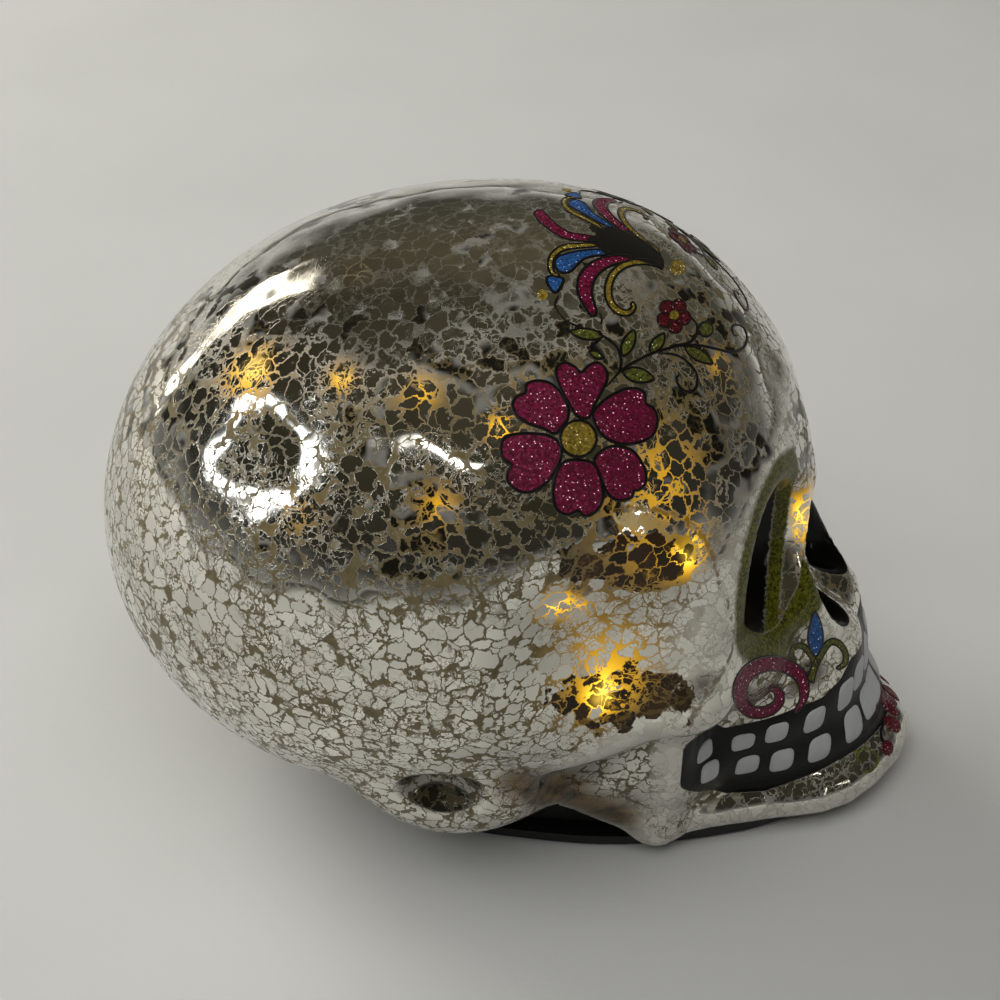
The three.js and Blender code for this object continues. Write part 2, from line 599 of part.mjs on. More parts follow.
// Posts that take the deck's screws
const DECK_POST_SHARES = [[0, -65.5], [19, 19], [-19, 19]];
const DECK_POST_RADIUS = 3.2;
const deckPosts = DECK_POST_SHARES.map(([x, y]) => [x * BASE_SX, y * SY]);
const boardPosts = [[BOARD_POST_X, BOARD_MIDDLE_Y], [-BOARD_POST_X, BOARD_MIDDLE_Y]];

function baseShell() {
  const middleY = BOARD_MIDDLE_Y;
  const flange = prism(footprint(0), BASE_BOTTOM, FLANGE_TOP);
  const spigot = prism(footprint(SPIGOT_INSET), BASE_BOTTOM, DECK_BOTTOM);
  const spigotRoom = prism(footprint(SPIGOT_INSET + MOULD_WALL), FLANGE_TOP, FAR);
  const tub = block([-BAY_HALF_X - MOULD_WALL, BAY_FRONT_Y - MOULD_WALL, BASE_BOTTOM],
    [BAY_HALF_X + MOULD_WALL, BAY_BACK_Y + MOULD_WALL, TUB_TOP]);
  const pinBlock = block([-PIN_BLOCK_HALF_X, BAY_BACK_Y, BASE_BOTTOM],
    [PIN_BLOCK_HALF_X, POCKET_BACK_Y + MOULD_WALL, POCKET_TOP + MOULD_WALL]);
  const posts = deckPosts.map(([x, y]) => post(DECK_POST_RADIUS, x, y, BASE_BOTTOM, DECK_BOTTOM));
  const shelves = boardPosts.map(([x, y]) => post(BOARD_POST_RADIUS, x, y, BASE_BOTTOM, BOARD_BOTTOM));
  const solid = joined([spigot.add(flange).subtract(spigotRoom), tub, pinBlock, ...posts, ...shelves]);
  const cuts = [
    block([-BAY_HALF_X, BAY_FRONT_Y, 0], [BAY_HALF_X, BAY_BACK_Y, BAY_TOP]),
    block([-DOOR_HALF_X - PART_GAP, DOOR_FRONT_Y - PART_GAP, 0],
      [DOOR_HALF_X + PART_GAP, DOOR_BACK_Y + SWING_GAP, DOOR_TOP + PART_GAP]),
    block([-LATCH_HALF_X - PART_GAP, DOOR_FRONT_Y - LATCH_REACH - PART_GAP, 0],
      [LATCH_HALF_X + PART_GAP, DOOR_FRONT_Y, DOOR_TOP + PART_GAP]),
    block([-KNUCKLE_HALF_X - PART_GAP, POCKET_FRONT_Y - DOOR_LAP, 0],
      [KNUCKLE_HALF_X + PART_GAP, POCKET_BACK_Y, POCKET_TOP]),
    barX(PIN_RADIUS + RUNNING_GAP, -PIN_HALF_X - PART_GAP, PIN_HALF_X + PART_GAP, HINGE_Y, HINGE_Z),
    block([CAN_MIDDLE_X - SLOT_HALF_X, middleY - SLOT_HALF_Y, 0],
      [CAN_MIDDLE_X + SLOT_HALF_X, middleY + SLOT_HALF_Y, FLANGE_TOP + MOULD_WALL]),
    block([CAN_MIDDLE_X - SLOT_HALF_X - THUMB_RECESS, middleY - SLOT_HALF_Y - THUMB_RECESS, 0],
      [CAN_MIDDLE_X + SLOT_HALF_X + THUMB_RECESS, middleY + SLOT_HALF_Y + THUMB_RECESS,
        BASE_BOTTOM + THUMB_RECESS_DEPTH]),
    ...deckPosts.map(([x, y]) => post(SCREW_BORE_RADIUS, x, y, DECK_BOTTOM - SCREW_LENGTH, FAR, SCREW_SIDES)),
    ...boardPosts.map(([x, y]) => post(SCREW_BORE_RADIUS, x, y, FLANGE_TOP, FAR, SCREW_SIDES)),
  ];
  return without(solid, cuts);
}

function circuitBoard() {
  const plate = block([-BOARD_HALF_X, BOARD_MIDDLE_Y - BOARD_HALF_Y, BOARD_BOTTOM],
    [BOARD_HALF_X, BOARD_MIDDLE_Y + BOARD_HALF_Y, BOARD_TOP]);
  return without(plate, boardPosts.map(([x, y]) => post(SCREW_BORE_RADIUS, x, y, 0, FAR, SCREW_SIDES)));
}

const CHIP_HALF_X = 2.5;
const CHIP_HALF_Y = 2.0;
const CHIP_HEIGHT = 1.5;
const CHIP_X = -3.0;

function timerChip() {
  return block([CHIP_X - CHIP_HALF_X, BOARD_MIDDLE_Y - CHIP_HALF_Y, BOARD_TOP],
    [CHIP_X + CHIP_HALF_X, BOARD_MIDDLE_Y + CHIP_HALF_Y, BOARD_TOP + CHIP_HEIGHT]);
}

// The deck closes the base; the string leaves it through a grommet
const GLAND_X = 5.5;
const GLAND_SETBACK = 3.0;
const GLAND_Y = BOARD_MIDDLE_Y + GLAND_SETBACK;
const GROMMET_NECK_RADIUS = 2.0;
const GROMMET_COLLAR_RADIUS = 3.2;
const GROMMET_COLLAR_HEIGHT = 1.0;
const GROMMET_BORE_RADIUS = STRING_RADIUS + PART_GAP;

function deckCover() {
  const plate = prism(footprint(SPIGOT_INSET), DECK_BOTTOM, DECK_TOP);
  const holes = deckPosts.map(([x, y]) => post(SCREW_BORE_RADIUS, x, y, 0, FAR, SCREW_SIDES));
  holes.push(post(GROMMET_NECK_RADIUS + PART_GAP, GLAND_X, GLAND_Y, 0, FAR));
  return without(plate, holes);
}

function stringGrommet() {
  const neck = post(GROMMET_NECK_RADIUS, GLAND_X, GLAND_Y, DECK_BOTTOM, DECK_TOP);
  const collar = post(GROMMET_COLLAR_RADIUS, GLAND_X, GLAND_Y, DECK_TOP, DECK_TOP + GROMMET_COLLAR_HEIGHT);
  return neck.add(collar).subtract(post(GROMMET_BORE_RADIUS, GLAND_X, GLAND_Y, 0, FAR));
}

// Cells lie across the base, every other one turned round
const NUB_RADIUS = 1.9;
const NUB_LENGTH = 1.0;
const CELL_SIDES = 20;

function cellWay(index) {
  return index % 2 === 0 ? 1 : -1;
}

function cellY(index) {
  return BAY_MIDDLE_Y + (index - (CELL_COUNT - 1) / 2) * CELL_PITCH;
}

function batteryCell(index) {
  const way = cellWay(index);
  const half = CELL_LENGTH / 2;
  const shoulder = half - NUB_LENGTH;
  const can = barX(CELL_RADIUS, Math.min(-way * half, way * shoulder), Math.max(-way * half, way * shoulder),
    cellY(index), CELL_AXIS_Z, CELL_SIDES);
  const nub = barX(NUB_RADIUS, Math.min(0, way * half), Math.max(0, way * half), cellY(index), CELL_AXIS_Z);
  return can.add(nub);
}

// Contact strips stand against the ends of the bay, with a button for each nub
const STRIP_THICKNESS = 0.4;
const STRIP_HALF_Y = 3.8;
const STRIP_HALF_Z = 3.8;
const BUTTON_RADIUS = 2.2;

function contactStrip(side, indices) {
  const ys = indices.map(cellY);
  const wall = side * BAY_HALF_X;
  const face = side * (BAY_HALF_X - STRIP_THICKNESS);
  const low = [Math.min(wall, face), Math.min(...ys) - STRIP_HALF_Y, CELL_AXIS_Z - STRIP_HALF_Z];
  const high = [Math.max(wall, face), Math.max(...ys) + STRIP_HALF_Y, CELL_AXIS_Z + STRIP_HALF_Z];
  let strip = block(low, high);
  for (const index of indices) {
    if (cellWay(index) === side) {
      const tip = side * (CELL_LENGTH / 2 + PART_GAP);
      strip = strip.add(barX(BUTTON_RADIUS, Math.min(tip, wall), Math.max(tip, wall), cellY(index), CELL_AXIS_Z));
    }
  }
  return strip;
}

// A round wire along a curve, closed at both ends
function wire(curve, radius, sides, steps) {
  const section = new THREE.Shape();
  for (let i = 0; i < sides; i += 1) {
    const turn = (2 * Math.PI * i) / sides;
    const point = [radius * Math.cos(turn), radius * Math.sin(turn)];
    if (i === 0) section.moveTo(...point);
    else section.lineTo(...point);
  }
  section.closePath();
  return new THREE.ExtrudeGeometry(section, { steps, extrudePath: curve, bevelEnabled: false, curveSegments: 1 });
}

// Conical springs press on the flat ends of the cells
const SPRING_CURLS = 3;
const SPRING_WIDE = 3.9;
const SPRING_NARROW = 1.5;
const SPRING_STEPS = 8;
const SPRING_SIDES = 5;

class SpringCurve extends THREE.Curve {
  constructor(index) {
    super();
    this.index = index;
  }

  getPoint(t, target = new THREE.Vector3()) {
    const side = -cellWay(this.index);
    const foot = BAY_HALF_X - STRIP_THICKNESS - PART_GAP - SPRING_WIRE_RADIUS;
    const head = CELL_LENGTH / 2 + PART_GAP + SPRING_WIRE_RADIUS;
    const radius = SPRING_WIDE + (SPRING_NARROW - SPRING_WIDE) * t;
    const turn = 2 * Math.PI * SPRING_CURLS * t;
    return target.set(side * (foot + (head - foot) * t), cellY(this.index) + radius * Math.cos(turn),
      CELL_AXIS_Z + radius * Math.sin(turn));
  }
}

function contactSpring(index) {
  return wire(new SpringCurve(index), SPRING_WIRE_RADIUS, SPRING_SIDES, SPRING_STEPS * SPRING_CURLS);
}

// The light string climbs inside the glass. Each stop is a bearing from the face towards +X and a height
// angle, both in degrees, seen from the middle of the brain case; the last entry tells whether it has a light.
const STRING_STOP_SHARES = [
  [20, -25, 0], [62, -22, 0], [110, -20, 0], [160, -22, 0], [-152, -20, 0], [-108, -17, 0], [-80, -12, 0],
  [-59, -5, 1], [-37, 2, 1], [-10, 8, 1], [22, 4, 0], [62, 2, 1], [110, 1, 0], [160, 1, 1], [-155, 5, 0],
  [-115, 10, 0], [-88, 14, 0], [-66, 17, 1], [-42, 21, 1], [-10, 25, 0], [28, 24, 1], [72, 23, 0], [115, 22, 1],
  [165, 22, 0], [-145, 24, 0], [-117, 27, 1], [-90, 33, 1], [-60, 33, 1], [-25, 40, 1], [15, 44, 0], [60, 45, 1],
  [120, 44, 0], [178, 43, 0], [-141, 45, 1], [-118, 50, 1], [-96, 51, 1], [-70, 49, 1], [-25, 60, 0],
  [40, 66, 1], [120, 65, 0], [-150, 66, 1], [-95, 74, 0],
];
const STRING_CENTRE_SHARE = [0, 8, 62];
const STRING_INSET = 4.2;
const STRING_LIFT = 5.0;
const STRING_STEPS_PER_STOP = 4;
const STRING_SIDES = 6;
const LEAD_POINTS = 4;
const stringCentre = new THREE.Vector3(STRING_CENTRE_SHARE[0] * SX, STRING_CENTRE_SHARE[1] * SY,
  STRING_CENTRE_SHARE[2] * SZ);

const FULL_TURN = 360;
const HALF_TURN = FULL_TURN / 2;

// Bearings run on past a full turn, so the curve through them never jumps back
function unwound(stopShares) {
  let turns = 0;
  return stopShares.map(([bearing, height], i) => {
    if (i > 0 && bearing < stopShares[i - 1][0] - HALF_TURN) turns += 1;
    return new THREE.Vector3(bearing + turns * FULL_TURN, height, 0);
  });
}

// The string keeps inside the nearest hollow of the face: each point takes the least reach around it
function stringPoints() {
  const angles = new THREE.CatmullRomCurve3(unwound(STRING_STOP_SHARES), false, 'centripetal');
  const count = STRING_STEPS_PER_STOP * (STRING_STOP_SHARES.length - 1);
  const directions = [];
  const reaches = [];
  for (let i = 0; i <= count; i += 1) {
    const angle = angles.getPoint(i / count);
    const b = THREE.MathUtils.degToRad(angle.x);
    const h = THREE.MathUtils.degToRad(angle.y);
    const direction = new THREE.Vector3(Math.sin(b) * Math.cos(h), -Math.cos(b) * Math.cos(h), Math.sin(h));
    directions.push(direction);
    reaches.push(reach(stringCentre, direction, GLASS_WALL + STRING_INSET));
  }
  const near = (values, i, span, pick) => pick(values.slice(Math.max(0, i - span), i + span + 1));
  const least = reaches.map((r, i) => near(reaches, i, 2, (some) => Math.min(...some)));
  const smooth = least.map((r, i) => near(least, i, 2, (some) => some.reduce((a, v) => a + v, 0) / some.length));
  const lead = [
    new THREE.Vector3(GLAND_X, GLAND_Y, BOARD_TOP + PART_GAP),
    new THREE.Vector3(GLAND_X, GLAND_Y, (BOARD_TOP + DECK_TOP) / 2),
    new THREE.Vector3(GLAND_X, GLAND_Y, DECK_TOP),
    new THREE.Vector3(GLAND_X, GLAND_Y, DECK_TOP + STRING_LIFT),
  ];
  const inside = directions.map((direction, i) => stringCentre.clone().addScaledVector(direction, smooth[i]));
  return [...lead, ...inside];
}

const stops = stringPoints();
const stringCurve = new THREE.CatmullRomCurve3(stops, false, 'centripetal');

// Steps are spread evenly over the stops, so the curve isn't re-measured by length
class StopCurve extends THREE.Curve {
  getPoint(t, target = new THREE.Vector3()) {
    return stringCurve.getPoint(t, target);
  }

  getPointAt(t, target) {
    return this.getPoint(t, target);
  }

  getTangentAt(t, target) {
    return this.getTangent(t, target);
  }
}

const stringSteps = stops.length - 1;

function lightString() {
  return wire(new StopCurve(), STRING_RADIUS, STRING_SIDES, stringSteps);
}

// The least room between two stretches of the string that aren't neighbours
const NEIGHBOUR_SPAN = 6;
const STRING_PROBES = 1200;

function leastStringGap() {
  const points = [];
  for (let i = 0; i <= stringSteps; i += 1) {
    points.push(stringCurve.getPoint(i / stringSteps));
  }
  let least = Infinity;
  for (let i = 0; i < points.length; i += 1) {
    for (let j = i + NEIGHBOUR_SPAN; j < points.length; j += 1) {
      least = Math.min(least, points[i].distanceTo(points[j]));
    }
  }
  return least - 2 * STRING_RADIUS;
}

// The least room between the string and the inside of the glass
function leastGlassGap() {
  let least = Infinity;
  const from = LEAD_POINTS / stringSteps;
  for (let i = 0; i <= STRING_PROBES; i += 1) {
    const p = stringCurve.getPoint(from + (1 - from) * (i / STRING_PROBES));
    least = Math.min(least, -formDistance(p.x, p.y, p.z) - GLASS_WALL - STRING_RADIUS);
  }
  return least;
}

// A light: a drop of clear resin moulded round the wire
const BEAD_RADIUS = 1.9;
const BEAD_HALF_LENGTH = 2.6;
const BEAD_BORE_RADIUS = STRING_RADIUS + PART_GAP;
const BEAD_SIDES = 8;
const BEAD_STATIONS = 5;

function ledBead(stopIndex) {
  const step = LEAD_POINTS + stopIndex * STRING_STEPS_PER_STOP;
  const before = stringCurve.getPoint(step / stringSteps);
  const after = stringCurve.getPoint((step + 1) / stringSteps);
  const profile = [];
  for (let i = 0; i <= BEAD_STATIONS; i += 1) {
    const turn = Math.PI * (i / BEAD_STATIONS);
    const radius = BEAD_BORE_RADIUS + (BEAD_RADIUS - BEAD_BORE_RADIUS) * Math.sin(turn);
    profile.push(new THREE.Vector2(radius, -BEAD_HALF_LENGTH * Math.cos(turn)));
  }
  profile.push(profile[0].clone());
  const geometry = mergeVertices(bareLathe(profile, BEAD_SIDES), WELD);
  const along = after.clone().sub(before).normalize();
  geometry.applyQuaternion(new THREE.Quaternion().setFromUnitVectors(new THREE.Vector3(0, 1, 0), along));
  const middle = before.add(after).multiplyScalar(1 / 2);
  geometry.translate(middle.x, middle.y, middle.z);
  return geometry;
}

function bareLathe(profile, sides) {
  const geometry = new THREE.LatheGeometry(profile, sides);
  geometry.deleteAttribute('normal');
  geometry.deleteAttribute('uv');
  return geometry;
}

// Foot pads
const PAD_RADIUS = 4.5;
const PAD_SHARES = [[21, 22], [-21, 22], [15, -61], [-15, -61]];

function footPad([x, y]) {
  return post(PAD_RADIUS, x * BASE_SX, y * SY, 0, FOOT_HEIGHT, CELL_SIDES);
}

// Assembly
const group = new THREE.Group();
group.name = 'skull_lamp';

function place(name, form, colour, roughness, metalness = 0) {
  const geometry = form.isBufferGeometry ? form : toGeometry(form);
  const material = new THREE.MeshStandardMaterial({ color: colour, roughness, metalness });
  material.name = name;
  const mesh = new THREE.Mesh(geometry, material);
  mesh.name = name;
  group.add(mesh);
}

place('glass_skull', glassSkull(), 0x9a9384, 0.1, 0.8);
place('seal_ring', sealRing(), 0x1c1c1c, 0.8);
place('base_shell', baseShell(), 0x141414, 0.5);
place('deck_cover', deckCover(), 0x181818, 0.5);
deckPosts.forEach(([x, y], i) => place(`deck_screw_${i + 1}`, screw(x, y, DECK_TOP), 0xb0b0b0, 0.3, 1));
place('battery_door', batteryDoor(), 0x151515, 0.5);
place('door_pin', barX(PIN_RADIUS, -PIN_HALF_X, PIN_HALF_X, HINGE_Y, HINGE_Z), 0xb0b0b0, 0.3, 1);
PAD_SHARES.forEach((share, i) => place(`foot_pad_${i + 1}`, footPad(share), 0x222222, 0.9));
for (let i = 0; i < CELL_COUNT; i += 1) {
  place(`battery_cell_${i + 1}`, batteryCell(i), 0x5b6b52, 0.4);
}
for (let i = 0; i < CELL_COUNT; i += 1) {
  place(`contact_spring_${i + 1}`, contactSpring(i), 0xc8c8c8, 0.3, 1);
}
place('contact_strip_in', contactStrip(-1, [0]), 0xc8c8c8, 0.3, 1);
place('contact_strip_left', contactStrip(-1, [1, 2]), 0xc8c8c8, 0.3, 1);
place('contact_strip_right', contactStrip(1, [0, 1]), 0xc8c8c8, 0.3, 1);
place('contact_strip_out', contactStrip(1, [2]), 0xc8c8c8, 0.3, 1);
place('circuit_board', circuitBoard(), 0x1d5c33, 0.5);
place('timer_chip', timerChip(), 0x101010, 0.4);
boardPosts.forEach(([x, y], i) => place(`board_screw_${i + 1}`, screw(x, y, BOARD_TOP), 0xb0b0b0, 0.3, 1));
place('switch_can', switchCan(), 0xb8b8b8, 0.3, 1);
place('switch_knob', switchKnob(), 0x202020, 0.5);
place('string_grommet', stringGrommet(), 0x1a1a1a, 0.8);
place('light_string', lightString(), 0xb87333, 0.3, 1);
let beads = 0;
STRING_STOP_SHARES.forEach((stop, i) => {
  if (stop[2] === 1) {
    beads += 1;
    place(`led_bead_${String(beads).padStart(2, '0')}`, ledBead(i), 0xffe2a0, 0.2);
  }
});

// The origin goes under the middle of the whole
const box = new THREE.Box3().setFromObject(group);
const shift = new THREE.Vector3(-(box.min.x + box.max.x) / 2, -(box.min.y + box.max.y) / 2, -box.min.z);
group.children.forEach((mesh) => mesh.geometry.translate(shift.x, shift.y, shift.z));
const size = box.getSize(new THREE.Vector3());
console.log(`size ${size.x.toFixed(2)} x ${size.y.toFixed(2)} x ${size.z.toFixed(2)} mm`);
console.log(`shift ${shift.x.toFixed(3)} ${shift.y.toFixed(3)} ${shift.z.toFixed(3)} mm`);
console.log(`least gap of the light string to itself ${leastStringGap().toFixed(2)} mm, lights ${beads}`);
console.log(`least gap of the light string to the glass ${leastGlassGap().toFixed(2)} mm`);

export default group;
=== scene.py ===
"""Looks of the silvered glass skull lamp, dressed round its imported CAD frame.

Metres, +Z up, the face looks along -Y. The skull's form is worked out in millimetres in the CAD source's own
drawing coordinates, which differ from the frame's only by a shift along Y.
"""

import math

import bpy
import numpy as np
from mathutils import Matrix, Quaternion, Vector
from mathutils.geometry import delaunay_2d_cdt


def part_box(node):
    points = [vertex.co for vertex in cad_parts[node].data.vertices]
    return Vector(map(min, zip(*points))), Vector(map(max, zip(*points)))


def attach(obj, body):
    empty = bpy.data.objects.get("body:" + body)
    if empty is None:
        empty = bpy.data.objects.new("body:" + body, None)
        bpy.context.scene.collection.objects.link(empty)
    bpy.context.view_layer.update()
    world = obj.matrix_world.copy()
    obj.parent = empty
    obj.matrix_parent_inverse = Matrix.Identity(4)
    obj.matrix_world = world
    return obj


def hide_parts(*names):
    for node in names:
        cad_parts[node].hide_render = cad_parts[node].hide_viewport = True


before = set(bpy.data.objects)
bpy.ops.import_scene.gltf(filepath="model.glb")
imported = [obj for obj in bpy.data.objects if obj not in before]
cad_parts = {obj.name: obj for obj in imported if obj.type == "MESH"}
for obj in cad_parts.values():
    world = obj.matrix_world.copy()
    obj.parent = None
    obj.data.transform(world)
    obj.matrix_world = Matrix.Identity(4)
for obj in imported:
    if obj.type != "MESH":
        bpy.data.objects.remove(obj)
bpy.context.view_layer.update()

scene = bpy.context.scene
scene.view_settings.view_transform = "Standard"

MM = 0.001
HINGE_DRAWN_Y = 11.65
pin_low, pin_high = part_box("door_pin")
SHIFT = np.array([0.0, (pin_low.y + pin_high.y) / 2 / MM - HINGE_DRAWN_Y, 0.0])


def to_frame(points):
    """Drawing coordinates in millimetres to the frame's metres."""
    return (np.asarray(points, float) + SHIFT) * MM


# The skull's form, as in the CAD source

def turn(axis, degrees):
    c, s = math.cos(math.radians(degrees)), math.sin(math.radians(degrees))
    if axis == "x":
        return np.array([[1, 0, 0], [0, c, -s], [0, s, c]])
    return np.array([[c, 0, s], [0, 1, 0], [-s, 0, c]])


def ellipsoid(p, at, radii, tilt=0.0, roll=0.0):
    """About the signed distance to an ellipsoid."""
    q = (p - np.array(at, float)) @ (turn("x", tilt) @ turn("y", roll))
    r = np.array(radii, float)
    k0 = np.linalg.norm(q / r, axis=-1)
    k1 = np.linalg.norm(q / (r * r), axis=-1) + 1e-9
    return k0 * (k0 - 1) / k1


def chain(p, along, radii):
    """About the signed distance to a row of bars, with a radius at each of its points."""
    least = None
    for a, b, ra, rb in zip(along[:-1], along[1:], radii[:-1], radii[1:]):
        a, b = np.array(a, float), np.array(b, float)
        ab = b - a
        t = np.clip(((p - a) @ ab) / (ab @ ab), 0, 1)
        d = np.linalg.norm(p - a - t[..., None] * ab, axis=-1) - (ra + (rb - ra) * t)
        least = d if least is None else np.minimum(least, d)
    return least


def spline(held, per_span):
    """A smooth curve through the held points; the first and the last one or two only steer its ends."""
    out = []
    for a, b, c, d in zip(held[:-3], held[1:-2], held[2:-1], held[3:]):
        for t in np.arange(per_span) / per_span:
            out.append(0.5 * (2 * b + (c - a) * t + (2 * a - 5 * b + 4 * c - d) * t * t
                              + (3 * b - a - 3 * c + d) * t ** 3))
    return np.array(out)


def smooth_run(points, per_span):
    """Points of a curve that runs smoothly through the given ones."""
    p = np.array(points, float)
    held = np.vstack([2 * p[0] - p[1], p, 2 * p[-1] - p[-2]])
    return np.vstack([spline(held, per_span), p[-1:]])


def spread(values, count):
    """A number of values, in even steps along the given ones."""
    given = np.atleast_1d(values)
    return np.interp(np.linspace(0, 1, count), np.linspace(0, 1, len(given)), given)


def curved_chain(along, radii):
    run = smooth_run(along, 3)
    return run, spread(radii, len(run))


def soft_min(a, b, k):
    h = np.clip(0.5 + 0.5 * (b - a) / k, 0, 1)
    return b * (1 - h) + a * h - k * h * (1 - h)


# Bodies and hollows of one half; the other half mirrors it
CRANIUM = dict(at=(0, 12.7, 62.1), radii=(61.2, 56.9, 67.9), tilt=73.6)
FOREHEAD = dict(at=(0, -9.0, 67.7), radii=(51.4, 40.4, 43.4))
CHEEKS = dict(at=(0, -30, 50), radii=(35, 25, 26))
MUZZLE = dict(at=(0, -38, 30), radii=(30, 34.5, 19))
JAW = dict(at=(0, -36, 18), radii=(28.2, 40.8, 15))
MASTOID = dict(at=(44, 6, 29), radii=(10.5, 17, 14))
JAW_RIM = curved_chain([(31.6, -33, 7.5), (27, -43.5, 7.2), (22.8, -55.5, 7.1), (16.4, -69, 7.3), (0, -78, 8),
                        (-16.4, -69, 7.3)], [4.4, 4.3, 4.3, 5.2, 6, 5.2])
JAW_FILL = ([(36, 0, 30), (34, -18, 26), (27.5, -37, 21)], [10, 8, 7])
RAMUS_LOW = ([(32.6, -33, 7.6), (37.6, -14, 22), (42, -6, 29)], [4, 4.6, 6])
RAMUS_FRONT = ([(32.2, -33, 10), (35, -36, 42)], [4, 5])
CHEEK_ARCH = curved_chain([(44, 0, 40), (46, -16, 43.5), (43, -31, 49), (40.5, -38, 52)], [6, 6, 5.5, 5])
ORBIT_RIM = curved_chain([(40.5, -37.5, 52), (36.5, -38.5, 70), (27, -39.5, 85), (8, -44, 88)],
                         [5, 4.2, 3.8, 3.5])
ORBIT_LOW = ([(39, -37, 51), (26, -46.5, 47), (11, -51, 50)], [6, 6.5, 5])
NASAL = ([(0, -44, 90), (0, -49, 78), (0, -52.5, 71)], [5.5, 5, 4.2])
NOSE_RIM = curved_chain([(8, -49, 74), (9.5, -51, 60), (11, -58.5, 47), (8, -63, 38)], [4, 4, 4.5, 6])
EYE = dict(at=(24, -58, 69), radii=(14.5, 18, 16))
NOSE = dict(at=(6, -64, 55.5), radii=(5.6, 10.5, 12.5), roll=-12)
EAR = dict(at=(60, 5.5, 32.5), radii=(10, 9, 6), roll=15)
JAW_PIT = dict(at=(50, -24, 28.5), radii=(9, 12, 10))
TEMPLE = dict(at=(78, -27, 70), radii=(31, 24, 24))
# Each with the reach in millimetres over which it blends with what comes before it
BODIES = ((FOREHEAD, 18), (CHEEKS, 10), (MUZZLE, 9), (JAW, 6))
BARS = ((JAW_RIM, 6), (JAW_FILL, 8), (RAMUS_LOW, 4), (RAMUS_FRONT, 5), (CHEEK_ARCH, 4), (ORBIT_RIM, 7),
        (ORBIT_LOW, 8), (NASAL, 5), (NOSE_RIM, 6))
MASTOID_BLEND = 8
HOLLOWS = ((EAR, 2), (JAW_PIT, 3), (EYE, 3), (NOSE, 2), (TEMPLE, 10))


def halved(p):
    q = np.array(p, float)
    q[..., 0] = np.abs(q[..., 0])
    return q


def form(points, spare=0.0):
    """About the signed distance to the skull's outside, with its hollows smaller by the spare."""
    p = halved(points)
    d = ellipsoid(p, **CRANIUM)
    for body, blend in BODIES:
        d = soft_min(d, ellipsoid(p, **body), blend)
    for bars, blend in BARS:
        d = soft_min(d, chain(p, *bars), blend)
    d = soft_min(d, ellipsoid(p, **MASTOID), MASTOID_BLEND)
    for hollow, blend in HOLLOWS:
        d = -soft_min(-d, ellipsoid(p, **hollow) - spare, blend)
    return d


def slope(distance, p, step):
    g = np.zeros_like(p)
    for k in range(3):
        e = np.zeros(3)
        e[k] = step
        g[:, k] = (distance(p + e) - distance(p - e)) / (2 * step)
    return g


def unit(v):
    return v / (np.linalg.norm(v, axis=-1, keepdims=True) + 1e-12)


def onto(distance, points, step, least, reach=np.inf):
    """Points moved onto the surface where a distance is zero, in four moves no longer than the reach."""
    for _ in range(4):
        g = slope(distance, points, step)
        away = np.clip(distance(points), -reach, reach) / np.maximum((g * g).sum(-1), least)
        points = points - away[:, None] * g
    return points


# The photograph's camera, in drawing coordinates

PHOTO_SIDE = 1000
LENS_PIXELS = 1710.3
EYE_POINT = np.array([-264.4, -33.9, 263.7])
NEAREST_GLASS = 190.0
SLOPE_STEP = 0.2
BACK = unit(np.array([-0.7860, -0.1076, 0.6088]))
RIGHT = unit(np.array([-BACK[1], BACK[0], 0.0]))
UP = np.cross(BACK, RIGHT)


def cast(origins, directions, start=0.0, steps=110, stride=0.85, close=0.004):
    """Where rays first meet the form, with the outward normals there."""
    d = unit(np.asarray(directions, float))
    o = np.broadcast_to(np.asarray(origins, float), d.shape)
    t = np.full(len(d), float(start))
    for _ in range(steps):
        left = form(o + d * t[:, None])
        t += left * stride
        if np.abs(left).max() < close:
            break
    p = o + d * t[:, None]
    return p, unit(slope(form, p, SLOPE_STEP))


def cast_pixels(pixels):
    """Surface points seen at pixels of the photograph."""
    q = np.asarray(pixels, float)
    middle = PHOTO_SIDE / 2
    d = ((q[:, :1] - middle) * RIGHT + (middle - q[:, 1:2]) * UP) / LENS_PIXELS - BACK
    return cast(EYE_POINT, d, start=NEAREST_GLASS)


# Objects and node trees

def link(name, data):
    made = bpy.data.objects.new(name, data)
    scene.collection.objects.link(made)
    return made


def add_object(name, points, faces, smooth=True):
    mesh = bpy.data.meshes.new(name)
    mesh.from_pydata([tuple(p) for p in points], [], [tuple(int(i) for i in f) for f in faces])
    mesh.validate()
    if smooth:
        mesh.shade_smooth()
    return link(name, mesh)


def neighbours(count):
    """Pairs of places that follow each other round a ring."""
    return [(i, (i + 1) % count) for i in range(count)]


def wall_faces(count):
    """Faces between two rings of points, one above the other."""
    return [(i, j, count + j, count + i) for i, j in neighbours(count)]


def rectangle(wide, high):
    """Corners of a flat rectangle about the origin, from its half sizes."""
    return [(-wide, -high, 0), (wide, -high, 0), (wide, high, 0), (-wide, high, 0)]


